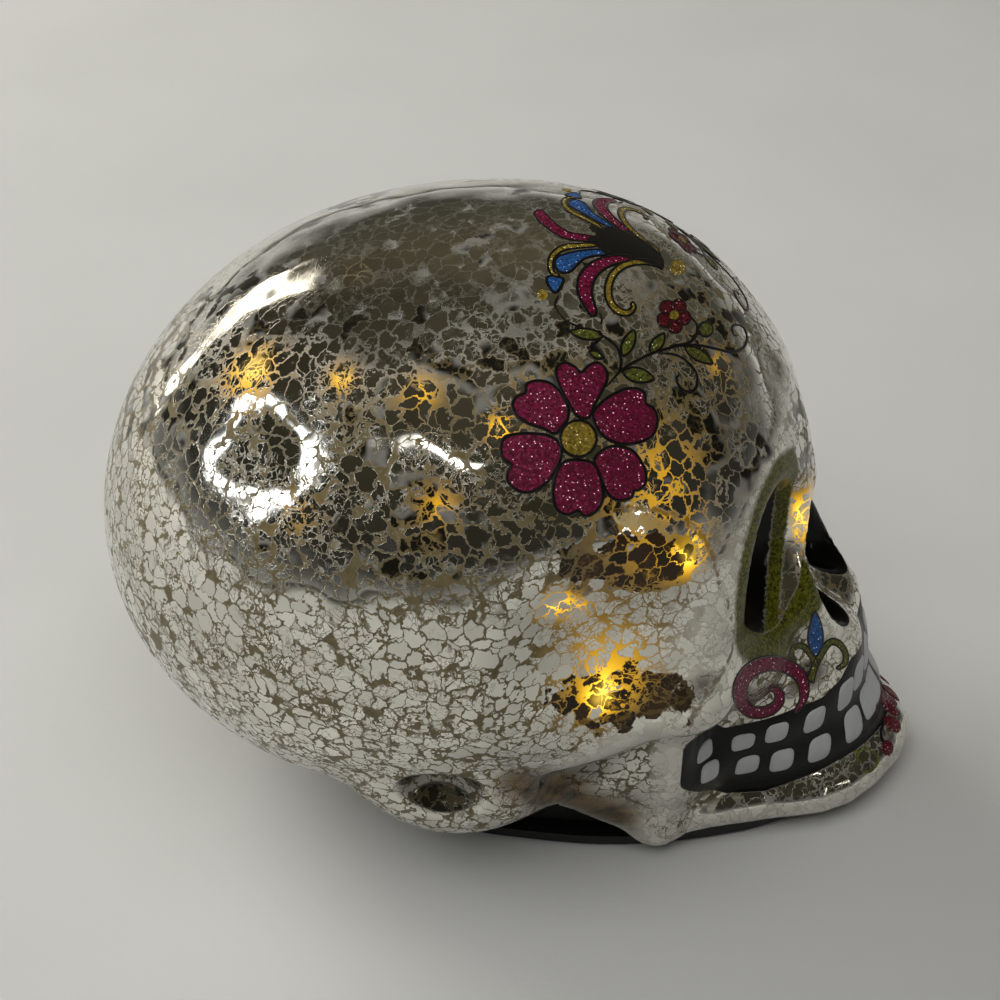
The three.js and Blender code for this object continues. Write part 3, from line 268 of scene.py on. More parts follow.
class Nodes:
    """Short hand for building a node tree."""

    def __init__(self, tree):
        self.tree = tree
        tree.nodes.clear()

    def add(self, kind, inputs=(), **settings):
        node = self.tree.nodes.new(kind)
        for name, value in settings.items():
            setattr(node, name, value)
        for key, value in dict(inputs).items():
            socket = node.inputs[key]
            if isinstance(value, bpy.types.NodeSocket):
                self.tree.links.new(value, socket)
            else:
                socket.default_value = value
        return node

    def math(self, operation, a, b=0.0, c=0.0):
        return self.add("ShaderNodeMath", {0: a, 1: b, 2: c}, operation=operation).outputs[0]

    def gather(self, operation, first, *others):
        for value in others:
            first = self.math(operation, first, value)
        return first

    def times(self, *values):
        return self.gather("MULTIPLY", *values)

    def plus(self, *values):
        return self.gather("ADD", *values)

    def most(self, *values):
        return self.gather("MAXIMUM", *values)

    def rest(self, value):
        return self.math("SUBTRACT", 1.0, value)

    def scaled(self, value, factor, offset):
        return self.math("MULTIPLY_ADD", value, factor, offset)

    def smooth(self, value, low, high):
        return self.add("ShaderNodeMapRange", {0: value, 1: low, 2: high, 3: 0.0, 4: 1.0},
                        interpolation_type="SMOOTHSTEP").outputs[0]

    def below(self, value, low, high):
        return self.rest(self.smooth(value, low, high))

    def vector(self, operation, a, b=(0, 0, 0), scale=None):
        inputs = {0: a, 1: b} if scale is None else {0: a, 3: scale}
        return self.add("ShaderNodeVectorMath", inputs, operation=operation).outputs[0]

    def mix(self, share, a, b, kind="RGBA"):
        first, result = (6, 2) if kind == "RGBA" else (2, 0)
        inputs = {0: share, first: a, first + 1: b}
        return self.add("ShaderNodeMix", inputs, data_type=kind).outputs[result]

    def noise(self, vector, scale, detail=2.0, roughness=0.5, output=0):
        inputs = {"Vector": vector, "Scale": scale, "Detail": detail, "Roughness": roughness}
        return self.add("ShaderNodeTexNoise", inputs).outputs[output]

    def wander(self, vector, scale, detail, roughness, reach):
        """A noise vector about zero."""
        noise = self.noise(vector, scale, detail, roughness, output=1)
        return self.vector("SCALE", self.vector("SUBTRACT", noise, (0.5, 0.5, 0.5)), scale=reach)

    def voronoi(self, vector, scale, feature="F1"):
        return self.add("ShaderNodeTexVoronoi", {"Vector": vector, "Scale": scale}, feature=feature).outputs

    def parts(self, colour):
        return self.add("ShaderNodeSeparateColor", {0: colour}).outputs

    def xyz(self, vector):
        return self.add("ShaderNodeSeparateXYZ", {0: vector}).outputs

    def attribute(self, name):
        return self.add("ShaderNodeAttribute", attribute_name=name).outputs["Fac"]

    def place(self):
        return self.add("ShaderNodeTexCoord").outputs["Object"]

    def position_mm(self):
        return self.vector("SCALE", self.place(), scale=1 / MM)

    def bump(self, height, strength, distance):
        inputs = {"Height": height, "Strength": strength, "Distance": distance}
        return self.add("ShaderNodeBump", inputs).outputs[0]

    def principled(self, **inputs):
        names = {"specular_level": "Specular IOR Level", "ior": "IOR"}
        named = {names.get(key, key.replace("_", " ").title()): value for key, value in inputs.items()}
        return self.add("ShaderNodeBsdfPrincipled", named).outputs[0]

    def emission(self, colour, strength):
        return self.add("ShaderNodeEmission", {0: colour, 1: strength}).outputs[0]

    def clear_unless(self, share, shader):
        clear = self.add("ShaderNodeBsdfTransparent").outputs[0]
        return self.add("ShaderNodeMixShader", {0: share, 1: clear, 2: shader}).outputs[0]

    def show(self, shader, output="ShaderNodeOutputMaterial"):
        self.tree.links.new(shader, self.add(output).inputs[0])

    def surface(self, **inputs):
        self.show(self.principled(**inputs))


def material(name):
    made = bpy.data.materials.new(name)
    made.use_nodes = True
    return made, Nodes(made.node_tree)


def rgb(r, g, b):
    """An 8-bit colour as it should look, for a shader."""
    def one(v):
        v /= 255
        return v / 12.92 if v <= 0.04045 else ((v + 0.055) / 1.055) ** 2.4
    return (one(r), one(g), one(b), 1.0)


# Camera, floor, backdrop, world and lamps

SENSOR = 36.0
FLOOR_HALF = 6.0
WALL_RADIUS, WALL_LOW, WALL_HIGH, WALL_COUNT = 5.9, -0.01, 5.0, 64
LOOK_AT = Vector((0, 0, 0.06))
# Colour of the room by height, from the horizon to the zenith, and how much brighter it is towards +X
WORLD_STOPS = ((0.0, (0.24, 0.24, 0.23)), (0.07, (0.12, 0.118, 0.11)), (0.20, (0.026, 0.025, 0.020)),
               (0.60, (0.034, 0.030, 0.019)), (1.0, (0.060, 0.053, 0.035)))
FAR_WALL, FAR_WALL_GAIN = (0.35, 0.78), 1.5
# Where a card fades out, as shares of its half width and half height, and the same for a ring
CARD_FADE = (0.55, 0.95), (0.65, 0.97)
RING_INSIDE, RING_FADE_OUT = 0.12, (0.84, 0.96)


def make_camera():
    data = bpy.data.cameras.new("camera")
    data.sensor_width = SENSOR
    data.lens = LENS_PIXELS / PHOTO_SIDE * SENSOR
    data.clip_start = 0.01
    scene.camera = link("camera", data)
    turned = Matrix((RIGHT, UP, BACK)).transposed().to_4x4()
    turned.translation = Vector(to_frame(EYE_POINT))
    scene.camera.matrix_world = turned


def make_floor():
    """Pale paper that is clear from below, so that a low view shows the base and its door."""
    made, n = material("floor_paper")
    p = n.position_mm()
    tone = n.mix(n.noise(p, 0.012, 2.0), rgb(196, 196, 193), rgb(206, 206, 203))
    paper = n.principled(base_color=tone, roughness=0.9, specular_level=0.1,
                         normal=n.bump(n.noise(p, 0.9, 3.0), 0.15, 0.0002))
    from_below = n.add("ShaderNodeNewGeometry").outputs["Backfacing"]
    n.show(n.clear_unless(n.rest(from_below), paper))
    floor = add_object("floor", rectangle(FLOOR_HALF, FLOOR_HALF), [(0, 1, 2, 3)], smooth=False)
    floor.data.materials.append(made)


def make_world():
    world = bpy.data.worlds.new("studio")
    world.use_nodes = True
    scene.world = world
    n = Nodes(world.node_tree)
    toward = n.xyz(n.add("ShaderNodeTexCoord").outputs["Generated"])
    ramp = n.add("ShaderNodeValToRGB", {0: toward[2]})
    while len(ramp.color_ramp.elements) < len(WORLD_STOPS):
        ramp.color_ramp.elements.new(0.5)
    for element, (at, colour) in zip(ramp.color_ramp.elements, WORLD_STOPS):
        element.position = at
        element.color = (*colour, 1.0)
    gain = n.scaled(n.smooth(toward[0], *FAR_WALL), FAR_WALL_GAIN, 1.0)
    n.show(n.add("ShaderNodeBackground", {0: ramp.outputs[0], 1: gain}).outputs[0], "ShaderNodeOutputWorld")


def make_backdrop():
    """A pale paper wall far round the floor, seen only where a low view looks past it."""
    made, n = material("backdrop_paper")
    tone = n.mix(n.noise(n.position_mm(), 0.0006, 2.0), rgb(172, 172, 169), rgb(184, 184, 181))
    n.show(n.emission(tone, 1.0))
    turns = [2 * math.pi * i / WALL_COUNT for i in range(WALL_COUNT)]
    points = [(WALL_RADIUS * math.cos(a), WALL_RADIUS * math.sin(a), z)
              for z in (WALL_LOW, WALL_HIGH) for a in turns]
    wall = add_object("backdrop", points, wall_faces(WALL_COUNT))
    wall.data.materials.append(made)
    wall.visible_glossy = wall.visible_diffuse = wall.visible_shadow = False


def aim(made, bearing, height, distance, roll=0.0):
    """Turns a lamp or card to the skull, from a bearing off +X towards +Y and a height, both in degrees."""
    b, h = math.radians(bearing), math.radians(height)
    out = Vector((math.cos(b) * math.cos(h), math.sin(b) * math.cos(h), math.sin(h)))
    made.location = LOOK_AT + out * distance
    made.rotation_mode = "QUATERNION"
    made.rotation_quaternion = out.to_track_quat("Z", "Y") @ Quaternion((0, 0, 1), math.radians(roll))


def lamp(name, bearing, height, distance, side, power, colour=(1, 1, 1)):
    """A square area lamp that lights the skull and doesn't show in its silvering."""
    data = bpy.data.lights.new(name, "AREA")
    data.shape = "RECTANGLE"
    data.size = data.size_y = side
    data.energy = power
    data.color = colour
    made = link(name, data)
    aim(made, bearing, height, distance)
    made.visible_glossy = False


def card(name, bearing, height, distance, size, roll, colour, strength, hollow=None):
    """A glowing card with soft, uneven edges that the silvering reflects; hollow leaves a ring of it."""
    wide, high = size[0] / 2, size[1] / 2
    panel = add_object(name, rectangle(wide, high), [(0, 1, 2, 3)], smooth=False)
    aim(panel, bearing, height, distance, roll)
    panel.visible_camera = panel.visible_shadow = False
    made, n = material(name)
    flat = n.vector("MULTIPLY", n.place(), (1 / wide, 1 / high, 0))
    part = n.xyz(n.vector("ADD", flat, n.wander(flat, 1.6, 3.0, 0.55, 0.5)))
    if hollow is None:
        share = n.times(*(n.below(n.math("ABSOLUTE", part[k]), *CARD_FADE[k]) for k in (0, 1)))
    else:
        middle = n.add("ShaderNodeCombineXYZ", {0: part[0], 1: part[1]}).outputs[0]
        away = n.add("ShaderNodeVectorMath", {0: middle}, operation="LENGTH").outputs["Value"]
        share = n.times(n.smooth(away, hollow - RING_INSIDE, hollow), n.below(away, *RING_FADE_OUT))
    n.show(n.clear_unless(share, n.emission(colour, n.times(share, strength))))
    panel.data.materials.append(made)


make_camera()
make_floor()
make_world()
make_backdrop()
lamp("window_fill", 60, 35, 1.6, 0.9, 15.0, (1.0, 0.98, 0.95))
lamp("ceiling_fill", 180, 72, 1.6, 1.4, 13.0)
card("window_card", 57, 14, 1.3, (0.26, 1.05), 35, (1.0, 0.93, 0.80, 1), 5.0)
card("ring_card", 110, 28, 1.2, (1.0, 0.74), 0, (0.95, 0.98, 1.0, 1), 7.0, hollow=0.74)
card("temple_card", 232, 14, 1.3, (0.09, 0.50), -34, (1.0, 0.96, 0.86, 1), 3.0)
card("strip_card", 158, 50, 1.2, (0.62, 0.07), 0, (1.0, 1.0, 0.97, 1), 6.0)


# The glass

GLASS_WALL = 2.4
SKIN_PITCH = 1.25
INNER_PITCH = 3.0
SKIN_SETTLING = dict(step=0.05, least=0.25, reach=0.4)
# The box that the form lies in: half of X, then the low and high ends of Y and Z
GRID_X, GRID_LOW, GRID_HIGH = 67.0, (-90.0, -4.0), (90.0, 127.0)
# Steps of the coarse grid, and how near the surface the fine one is worked out: in coarse steps and in mm
COARSE, NEAR_STEPS, NEAR_MM = 4, 2.2, 3
# Cuts of the glass in metres: below the seal ring's flange, and the opening that the sleeve fills
SEAL_GAP = 0.0003
FLANGE_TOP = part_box("seal_ring")[0].z
CUT_HALF, CUT_FOOT, OPENING_FOOT, OPENING_TOP = 0.2, -0.1, -0.05, 0.020


def lattice(distance, pitch):
    """Distances on a grid, worked out in full only near the surface; the half with +X is mirrored."""
    xs = np.arange(0, GRID_X, pitch)
    ys = np.arange(GRID_LOW[0], GRID_HIGH[0], pitch)
    zs = np.arange(GRID_LOW[1], GRID_HIGH[1], pitch)
    coarse = [line[::COARSE] for line in (xs, ys, zs)]
    near = distance(np.stack(np.meshgrid(*coarse, indexing="ij"), -1))
    for axis in range(3):
        near = np.repeat(near, COARSE, axis)
    near = near[:len(xs), :len(ys), :len(zs)]
    values = near.copy()
    i, j, k = np.nonzero(np.abs(near) < COARSE * pitch * NEAR_STEPS + NEAR_MM)
    values[i, j, k] = distance(np.stack([xs[i], ys[j], zs[k]], -1))
    return np.concatenate([-xs[:0:-1], xs]), ys, zs, np.concatenate([values[:0:-1], values])


def ends(values, axis):
    """Values at both ends of the grid edges along an axis."""
    low, high = [slice(None)] * 3, [slice(None)] * 3
    low[axis], high[axis] = slice(None, -1), slice(1, None)
    return values[tuple(low)], values[tuple(high)]


def cell_points(lines, v, pitch, crossed):
    """The mean crossing of each grid cell that has any, and the number of its point for each cell."""
    shape = tuple(s - 1 for s in v.shape)
    total, count = np.zeros(shape + (3,)), np.zeros(shape)
    for axis, cross in enumerate(crossed):
        a, b = ends(v, axis)
        index = np.indices(cross.shape)
        place = np.stack([lines[k][index[k]] for k in range(3)], -1).astype(float)
        place[..., axis] += np.where(cross, a / np.where(cross, a - b, 1), 0) * pitch
        place *= cross[..., None]
        u, w = [k for k in range(3) if k != axis]
        for du in (0, 1):
            for dw in (0, 1):
                part = [slice(None)] * 3
                part[u], part[w] = slice(du, du + shape[u]), slice(dw, dw + shape[w])
                total += place[tuple(part)]
                count += cross[tuple(part)]
    used = count > 0
    number = np.full(shape, -1)
    number[used] = np.arange(used.sum())
    return total[used] / count[used][:, None], number


def cell_quads(number, inside, crossed):
    """A face round each crossing, from the points of the four cells beside it."""
    quads = []
    for axis, cross in enumerate(crossed):
        u, w = (axis + 1) % 3, (axis + 2) % 3
        at = np.argwhere(cross)
        for k in (u, w):
            at = at[(at[:, k] > 0) & (at[:, k] < number.shape[k])]
        ring = []
        for du, dw in ((1, 1), (0, 1), (0, 0), (1, 0)):
            cell = at.copy()
            cell[:, u] -= du
            cell[:, w] -= dw
            ring.append(number[tuple(cell.T)])
        ring = np.stack(ring, -1)
        flip = ~inside[tuple(at.T)]
        ring[flip] = ring[flip][:, ::-1]
        quads.append(ring)
    return np.concatenate(quads)


def skin(distance, pitch):
    """A closed skin where a distance is zero: a point in each cell it crosses, moved onto the surface."""
    *lines, v = lattice(distance, pitch)
    crossed = [np.not_equal(*ends(v < 0, axis)) for axis in range(3)]
    points, number = cell_points(lines, v, pitch, crossed)
    return onto(distance, points, **SKIN_SETTLING), cell_quads(number, v < 0, crossed)


def prism_object(name, outline, z0, z1):
    count = len(outline)
    points = [(x, y, z) for z in (z0, z1) for x, y in outline]
    faces = [tuple(range(count))[::-1], tuple(range(count, 2 * count))]
    return add_object(name, points, faces + wall_faces(count), smooth=False)


def cut(target, tool):
    change = target.modifiers.new("cut", "BOOLEAN")
    change.operation = "DIFFERENCE"
    change.solver = "MANIFOLD"
    change.object = tool
    bpy.context.view_layer.objects.active = target
    bpy.ops.object.modifier_apply(modifier=change.name)
    bpy.data.objects.remove(tool)


def seal_outline(grow, corner=0.93):
    """Outline of the seal sleeve from above, grown outward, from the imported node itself."""
    co = np.array([v.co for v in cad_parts["seal_ring"].data.vertices])
    top = co[np.abs(co[:, 2] - co[:, 2].max()) < 1e-5][:, :2]
    middle = np.array([0.0, (top[:, 1].max() + top[:, 1].min()) / 2])
    angle = np.round(np.arctan2(*(top - middle).T[::-1]), 2)
    outer = {}
    for p, a in zip(top, angle):
        r = np.hypot(*(p - middle))
        if a not in outer or r > outer[a][0]:
            outer[a] = (r, p)
    ring = np.array([outer[a][1] for a in sorted(outer)])
    far = np.hypot(*(ring - middle).T)
    ring = ring[[i for i in range(len(ring)) if far[i] > corner * max(far[i - 1], far[(i + 1) % len(ring)])]]
    along = unit(np.roll(ring, -1, 0) - np.roll(ring, 1, 0))
    return ring + np.stack([along[:, 1], -along[:, 0]], -1) * grow


def blow_glass():
    outer_points, outer_quads = skin(form, SKIN_PITCH)
    inner_points, inner_quads = skin(lambda p: form(p, 1.0) + GLASS_WALL, INNER_PITCH)
    made = add_object("mercury_glass", to_frame(outer_points), outer_quads)
    cut(made, add_object("inside", to_frame(inner_points), inner_quads))
    below = [(x, y) for x, y, _ in rectangle(CUT_HALF, CUT_HALF)]
    cut(made, prism_object("below", below, CUT_FOOT, FLANGE_TOP))
    cut(made, prism_object("opening", seal_outline(SEAL_GAP), OPENING_FOOT, OPENING_TOP))
    return made


# Edges of the black band of the mouth and its rear end, as pixels of the photograph
BAND_TOP = ((694, 736), (724, 728), (766, 719), (797, 707), (823, 697), (840, 680), (851, 658))
BAND_FOOT = ((688, 793), (724, 794), (766, 791), (809, 775), (837, 761), (862, 745))
BAND_END = (682, 762)
BAND_AXIS_Y = -38.0
BAND_ROUNDING = 4.5
BAND_BACK_Y = -30


def muzzle_bearing(side, y):
    """Bearing about the band's upright axis, in degrees from straight ahead."""
    return np.degrees(np.arctan2(side, BAND_AXIS_Y - y))


def band_edge(pixels):
    """Bearings and heights of places on the near side, in order of their bearings."""
    found, _ = cast_pixels(pixels)
    turned = muzzle_bearing(-found[:, 0], found[:, 1])
    order = np.argsort(turned)
    return turned[order], found[order, 2]


def band_distance(p):
    """About the signed distance in mm to the band, which runs round the muzzle between two heights."""
    out = muzzle_bearing(np.abs(p[:, 0]), p[:, 1])
    high, low = (np.interp(out, *band_edge(pixels)) for pixels in (BAND_TOP, BAND_FOOT))
    end = np.radians(out - band_edge([BAND_END])[0]) * np.hypot(p[:, 0], p[:, 1] - BAND_AXIS_Y)
    middle, half = (high + low) / 2, (high - low) / 2
    d = np.stack([np.abs(p[:, 2] - middle) - half, end], -1) + BAND_ROUNDING
    rounded = np.linalg.norm(np.maximum(d, 0), axis=-1) + np.minimum(d.max(-1), 0) - BAND_ROUNDING
    return np.where(p[:, 1] > BAND_BACK_Y, 9.0, rounded)


# Painted glow on the glass where the silvering is thin and much light comes through, on both sides: place,
# reach in mm, strength
GLOW_SPOTS = (
    ((50.7, -22.2, 56.6), 3.0, 0.8), ((50.0, -24.0, 62.0), 9.5, 0.42), ((28.4, 41.2, 104.5), 6.0, 0.75),
    ((52.5, -14.1, 78.9), 3.0, 0.8), ((9.6, -55.0, 68.0), 6.0, 0.9), ((42.9, -35.4, 84.2), 3.5, 0.8),
    ((41.5, -3.5, 105.4), 2.5, 0.7), ((44.0, -30.0, 88.0), 9.0, 0.3), ((38.0, -30.0, 98.0), 8.0, 0.3),
)
# Each light's patch of painted glow on the glass: how deep it lies behind, then the strength and reach of its
# core and halo
LIGHT_DEPTH, LIGHT_PATCHES = 6.6, ((0.9, 2.6), (0.10, 8.0))
# Painted shade under the cheek, where the skull faces the dark base and its shadow: darker brown silvering
# with fewer veins, along a line with its reach
UNDERSIDE_SHADE_RUN = ([(53, -8.5, 37), (49, -12, 31), (43, -16, 23), (40, -21.5, 18), (38, -27, 14)],
            [3.5, 4, 4, 3.5, 3])
# Lines of the near side as pixels of the photograph, each with its reach in millimetres: painted shade in the
# hollows of temple and cheek, a painted highlight along the temple's edge, and painted shade along the folds
# of temple and cheek
TEMPLE_SHADE_LINE = ([(585, 570), (622, 562), (668, 566)], [3.0, 4.5, 4.5])
CHEEK_SHADE_LINE = ([(575, 702), (620, 698), (664, 690)], [3.5, 5.0, 4.0])
TEMPLE_HIGHLIGHT_LINE = ([(618, 519), (650, 523), (680, 538), (697, 554)], [0.7, 1.3, 1.3, 0.8])
FOLD_SHADE_LINES = (
    ([(606, 508), (647, 509), (682, 519), (703, 536), (714, 560), (720, 590)], [0, 0.2, 0.3, 0.4, 0.3, 0]),
    ([(728, 600), (734, 635), (727, 664), (706, 694), (690, 722), (684, 750)], [0, 0.2, 0.3, 0.4, 0.4, 0.1]),
    ([(545, 722), (600, 720), (655, 712), (700, 694)], [0, 0.2, 0.2, 0]),
)


# How near the form a vertex counts as on it, and the step for its normal, both in mm
ON_SURFACE, NORMAL_STEP = 0.02, 0.3
GLASS_SHARP, FILM_SHARP = 50, 60


def drawn_line(pixels, reach):
    """A chain on the glass through pixels of the photograph, on the side where X is positive."""
    found, _ = cast_pixels(smooth_run(pixels, 4))
    return halved(found), spread(reach, len(found))


def light_through(p, q):
    """How much painted glow the glass gets at points p, for the light that reaches the outside there, with q
    their halved places.
    """
    glow = np.zeros(len(p))
    for node in sorted(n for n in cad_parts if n.startswith("led_bead")):
        low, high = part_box(node)
        away = np.linalg.norm(p - (np.array((low + high) / 2) / MM - SHIFT), axis=-1)
        beside = np.sqrt(np.maximum(away ** 2 - LIGHT_DEPTH ** 2, 0))
        for strength, reach in LIGHT_PATCHES:
            glow += strength * np.exp(-(beside / reach) ** 2)
    for at, reach, strength in GLOW_SPOTS:
        away = np.linalg.norm(q - np.array(at), axis=-1)
        glow += strength * np.exp(-(away / reach) ** 2)
    return glow


def dress_glass(glass):
    """Exact normals on the outside, and the measures that the glass material works with."""
    mesh = glass.data
    co = np.zeros(len(mesh.vertices) * 3)
    mesh.vertices.foreach_get("co", co)
    p = co.reshape(-1, 3) / MM - SHIFT
    outside = (np.abs(form(p)) < ON_SURFACE) & (p[:, 2] > FLANGE_TOP / MM + ON_SURFACE)
    normals = np.zeros_like(p)
    normals[outside] = unit(slope(form, p[outside], NORMAL_STEP))
    mesh.shade_smooth()
    mesh.set_sharp_from_angle(angle=math.radians(GLASS_SHARP))
    mesh.normals_split_custom_set_from_vertices([tuple(v) for v in normals])
    q = halved(p)

    def nearest(*lines):
        return np.minimum.reduce([chain(q, *line) for line in lines])

    ridges = ((CHEEK_ARCH, 0.0), (JAW_RIM, 1.0), (RAMUS_LOW, 0.0), (RAMUS_FRONT, 0.4), (NOSE_RIM, 0.8))
    measures = {
        "eye": ellipsoid(q, **EYE),
        "nose": ellipsoid(q, **NOSE),
        "band": band_distance(q),
        "thin": nearest(UNDERSIDE_SHADE_RUN),
        # The underside, hollow, fold and pit measures place painted shade, the one along the temple a painted
        # highlight, and glow the painted glow
        "brow": nearest(ORBIT_RIM),
        "dusk": nearest(drawn_line(*TEMPLE_SHADE_LINE), drawn_line(*CHEEK_SHADE_LINE)),
        "shine": nearest(drawn_line(*TEMPLE_HIGHLIGHT_LINE)),
        "fold": nearest(*(drawn_line(*line) for line in FOLD_SHADE_LINES)),
        "pit": np.minimum(ellipsoid(q, **EAR), ellipsoid(q, **JAW_PIT)),
        "ridge": np.minimum.reduce([chain(q, *line) + short for line, short in ridges]),
        "glow": light_through(p, q),
    }
    for name, values in measures.items():
        layer = mesh.attributes.new(name, "FLOAT", "POINT")
        layer.data.foreach_set("value", values.astype(np.float32))


# Tones of the silvering and of the paint laid on with it; a pair is a dark and a bright one. The cells and
# browns of the hollows, folds, pits and the cheek's underside are painted shade, the pale gold is a painted
# highlight, and the lit brown and amber are painted glow
SILVER = rgb(206, 203, 192), rgb(232, 229, 219)
HAZE = rgb(80, 70, 46), rgb(128, 117, 87)
CLEAR_CELL = rgb(28, 26, 20)
HOLLOW_SHADE_CELL = rgb(34, 30, 20), rgb(66, 46, 26)
HIGHLIGHT_GOLD, FOLD_SHADE_BROWN = rgb(208, 192, 146), rgb(86, 70, 38)
PIT_SHADE_BROWN, LIT_BROWN = rgb(52, 44, 26), rgb(70, 46, 8)
UNDERSIDE_SHADE_BROWN = rgb(38, 28, 12), rgb(114, 90, 50)
EYE_OLIVE = rgb(40, 42, 10), rgb(108, 108, 30)
SOCKET_BLACK = rgb(4, 4, 4)
AMBER = (1.0, 0.52, 0.015, 1), (1.0, 0.70, 0.10, 1)
# Cells per millimetre, how far a vein's core fills it, and where a cell's far corners join the veins
BIG_NET = (0.34, 0.6, (0.70, 0.78))
SMALL_NET = (0.72, 0.5, (0.66, 0.76))
# Each mask fades between two limits. These are distances in mm from the place or line of the same name. Those
# for the pits, the cheek's underside, the folds and the hollows place painted shade, and the one along the
# temple's edge a painted highlight
RIDGE, BROW, PIT_SHADE, UNDERSIDE_SHADE = (0.6, 2.2), (6.0, 13.0), (0.0, 1.5), (0.0, 6.5)
PAINTED_HIGHLIGHT, FOLD_SHADE, HOLLOW_SHADE = (-0.2, 0.6), (-0.1, 0.4), (-1.0, 4.0)
SOCKET, NOSTRIL, BAND_RIM, RING = (0.35, 0.5), (1.1, 1.25), (-0.1, 0.1), (4.8, 6.4)
# These are heights, and places forward and beside the middle, in mm
CROWN_HEIGHT, BARE_HEIGHT, SHALLOW_HEIGHT = (115.0, 127.0), (74.0, 84.0), (79.5, 80.5)
RING_FRONT, SHALLOW_FRONT, LIP_FRONT, NOSE_SIDE = (30.0, 34.0), (47.9, 48.5), (50.6, 51.4), (12.0, 13.0)


def crackle(n, p, patch, shine):
    """Three random shares for each big cell, and the veins: those between big cells, and lacy small ones; the
    veins are wider along the painted highlight.
    """
    q = n.vector("ADD", n.vector("ADD", p, n.wander(p, 0.22, 3.0, 0.6, 4.5)), n.wander(p, 1.1, 2.0, 0.6, 1.0))
    width = n.plus(n.scaled(n.noise(p, 0.35, 2.0), 0.20, -0.038), n.scaled(patch, 0.16, -0.08),
                   n.times(shine, 0.14))
    nets = []
    for scale, core, corners in (BIG_NET, SMALL_NET):
        cells = n.voronoi(q, scale)
        edge = n.voronoi(q, scale, "DISTANCE_TO_EDGE")["Distance"]
        vein = n.below(edge, n.times(width, core), width)
        nets.append((cells["Color"], n.most(vein, n.smooth(cells["Distance"], *corners))))
    (colour, big), (_, small) = nets
    lacy = n.smooth(n.noise(p, 0.09, 3.0, 0.65), 0.46, 0.62)
    return n.parts(colour), n.most(big, n.times(small, lacy))


def plain_parts(n, patch, place):
    """Where the silvering has few veins: the crown, the ridges and the brow."""
    crown = n.smooth(n.plus(place[2], n.times(place[1], 0.2), n.times(patch, 14.0)), *CROWN_HEIGHT)
    ridge = n.below(n.attribute("ridge"), *RIDGE)
    brow = n.below(n.plus(n.attribute("brow"), n.times(patch, 9.0)), *BROW)
    return n.most(crown, ridge, n.times(brow, 0.8))


def clear_and_shaded_cells(n, p, patch, cell, height):
    """Clear cells high up, and cells darkened as painted shade in the hollows of temple and cheek."""
    bare = n.times(n.smooth(cell[0], 0.62, 0.66), n.smooth(patch, 0.48, 0.58), n.smooth(height, *BARE_HEIGHT))
    ragged = n.plus(n.attribute("dusk"), n.scaled(patch, 10.0, -5.0),
                    n.scaled(n.noise(p, 0.3, 3.0), 9.0, -4.5))
    hollow = n.scaled(n.below(ragged, *HOLLOW_SHADE), 1.25, -0.9)
    return bare, n.smooth(n.plus(hollow, n.times(cell[2], 0.9)), 0.47, 0.53)


def silvering(n, p, place):
    """Colour of the silvered wall with its painted shade and highlight, its veins, its metal, and where the
    painted highlight and fold shade lie, which weakens the painted glow there.
    """
    patch = n.noise(p, 0.055, 3.0, 0.6)
    rag = n.scaled(n.noise(p, 0.9, 3.0), 2.4, -1.2)
    # Painted highlight: wider, pale gold veins along the temple's edge
    shine = n.below(n.plus(n.attribute("shine"), rag), *PAINTED_HIGHLIGHT)
    # Painted shade along the folds of temple and cheek
    fold = n.below(n.plus(n.attribute("fold"), rag), *FOLD_SHADE)
    cell, vein = crackle(n, p, patch, shine)
    vein = n.times(vein, n.rest(n.times(plain_parts(n, patch, place), 0.93)))
    vein = n.most(vein, n.times(fold, 0.8))
    # Painted shade: cells darkened in the hollows of temple and cheek
    bare, dusk = clear_and_shaded_cells(n, p, patch, cell, place[2])
    silver = n.mix(bare, n.mix(cell[1], *SILVER), CLEAR_CELL)
    silver = n.mix(dusk, silver, n.mix(cell[0], *HOLLOW_SHADE_CELL))
    haze = n.mix(shine, n.mix(n.noise(p, 0.8, 2.0), *HAZE), HIGHLIGHT_GOLD)
    base = n.mix(vein, silver, n.mix(fold, haze, FOLD_SHADE_BROWN))
    # Painted shade: brown darkening in the ear and jaw pits
    base = n.mix(n.times(n.below(n.attribute("pit"), *PIT_SHADE), 0.72), base, PIT_SHADE_BROWN)
    # Painted shade under the cheek: darker, streaky brown silvering with fewer veins
    thin = n.below(n.plus(n.attribute("thin"), n.times(patch, 5.0)), *UNDERSIDE_SHADE)
    streak = n.noise(n.vector("MULTIPLY", p, (0.5, 0.12, 0.5)), 1.0, 4.0, 0.6)
    base = n.mix(n.times(thin, 0.92), base, n.mix(n.smooth(streak, 0.35, 0.65), *UNDERSIDE_SHADE_BROWN))
    vein = n.times(vein, n.rest(n.times(thin, 0.8)))
    return base, vein, n.times(n.rest(vein), n.rest(n.most(bare, dusk))), n.most(shine, fold)


def face_paint(n, p, place):
    """Shares of the black in the socket, nose and band, and of the olive ring round the eye."""
    eye = n.attribute("eye")
    edge = n.scaled(n.noise(p, 1.1, 3.0), 1.6, -0.8)
    ahead = n.plus(n.times(place[1], -1.0), edge)
    socket = n.below(eye, *SOCKET)
    shallow = n.most(n.smooth(ahead, *SHALLOW_FRONT), n.smooth(n.plus(place[2], edge), *SHALLOW_HEIGHT))
    black = n.most(n.times(socket, n.rest(shallow)), n.below(n.attribute("nose"), *NOSTRIL),
                   n.below(n.attribute("band"), *BAND_RIM))
    lower = n.most(n.scaled(place[2], -0.4, 25.0), 0.0)
    beside_nose = n.smooth(n.plus(n.math("ABSOLUTE", place[0]), lower, edge), *NOSE_SIDE)
    ring = n.times(n.rest(socket), n.below(n.plus(eye, edge), *RING), beside_nose)
    lip = n.times(socket, shallow, n.below(ahead, *LIP_FRONT))
    return black, n.times(n.most(ring, lip), n.smooth(ahead, *RING_FRONT))


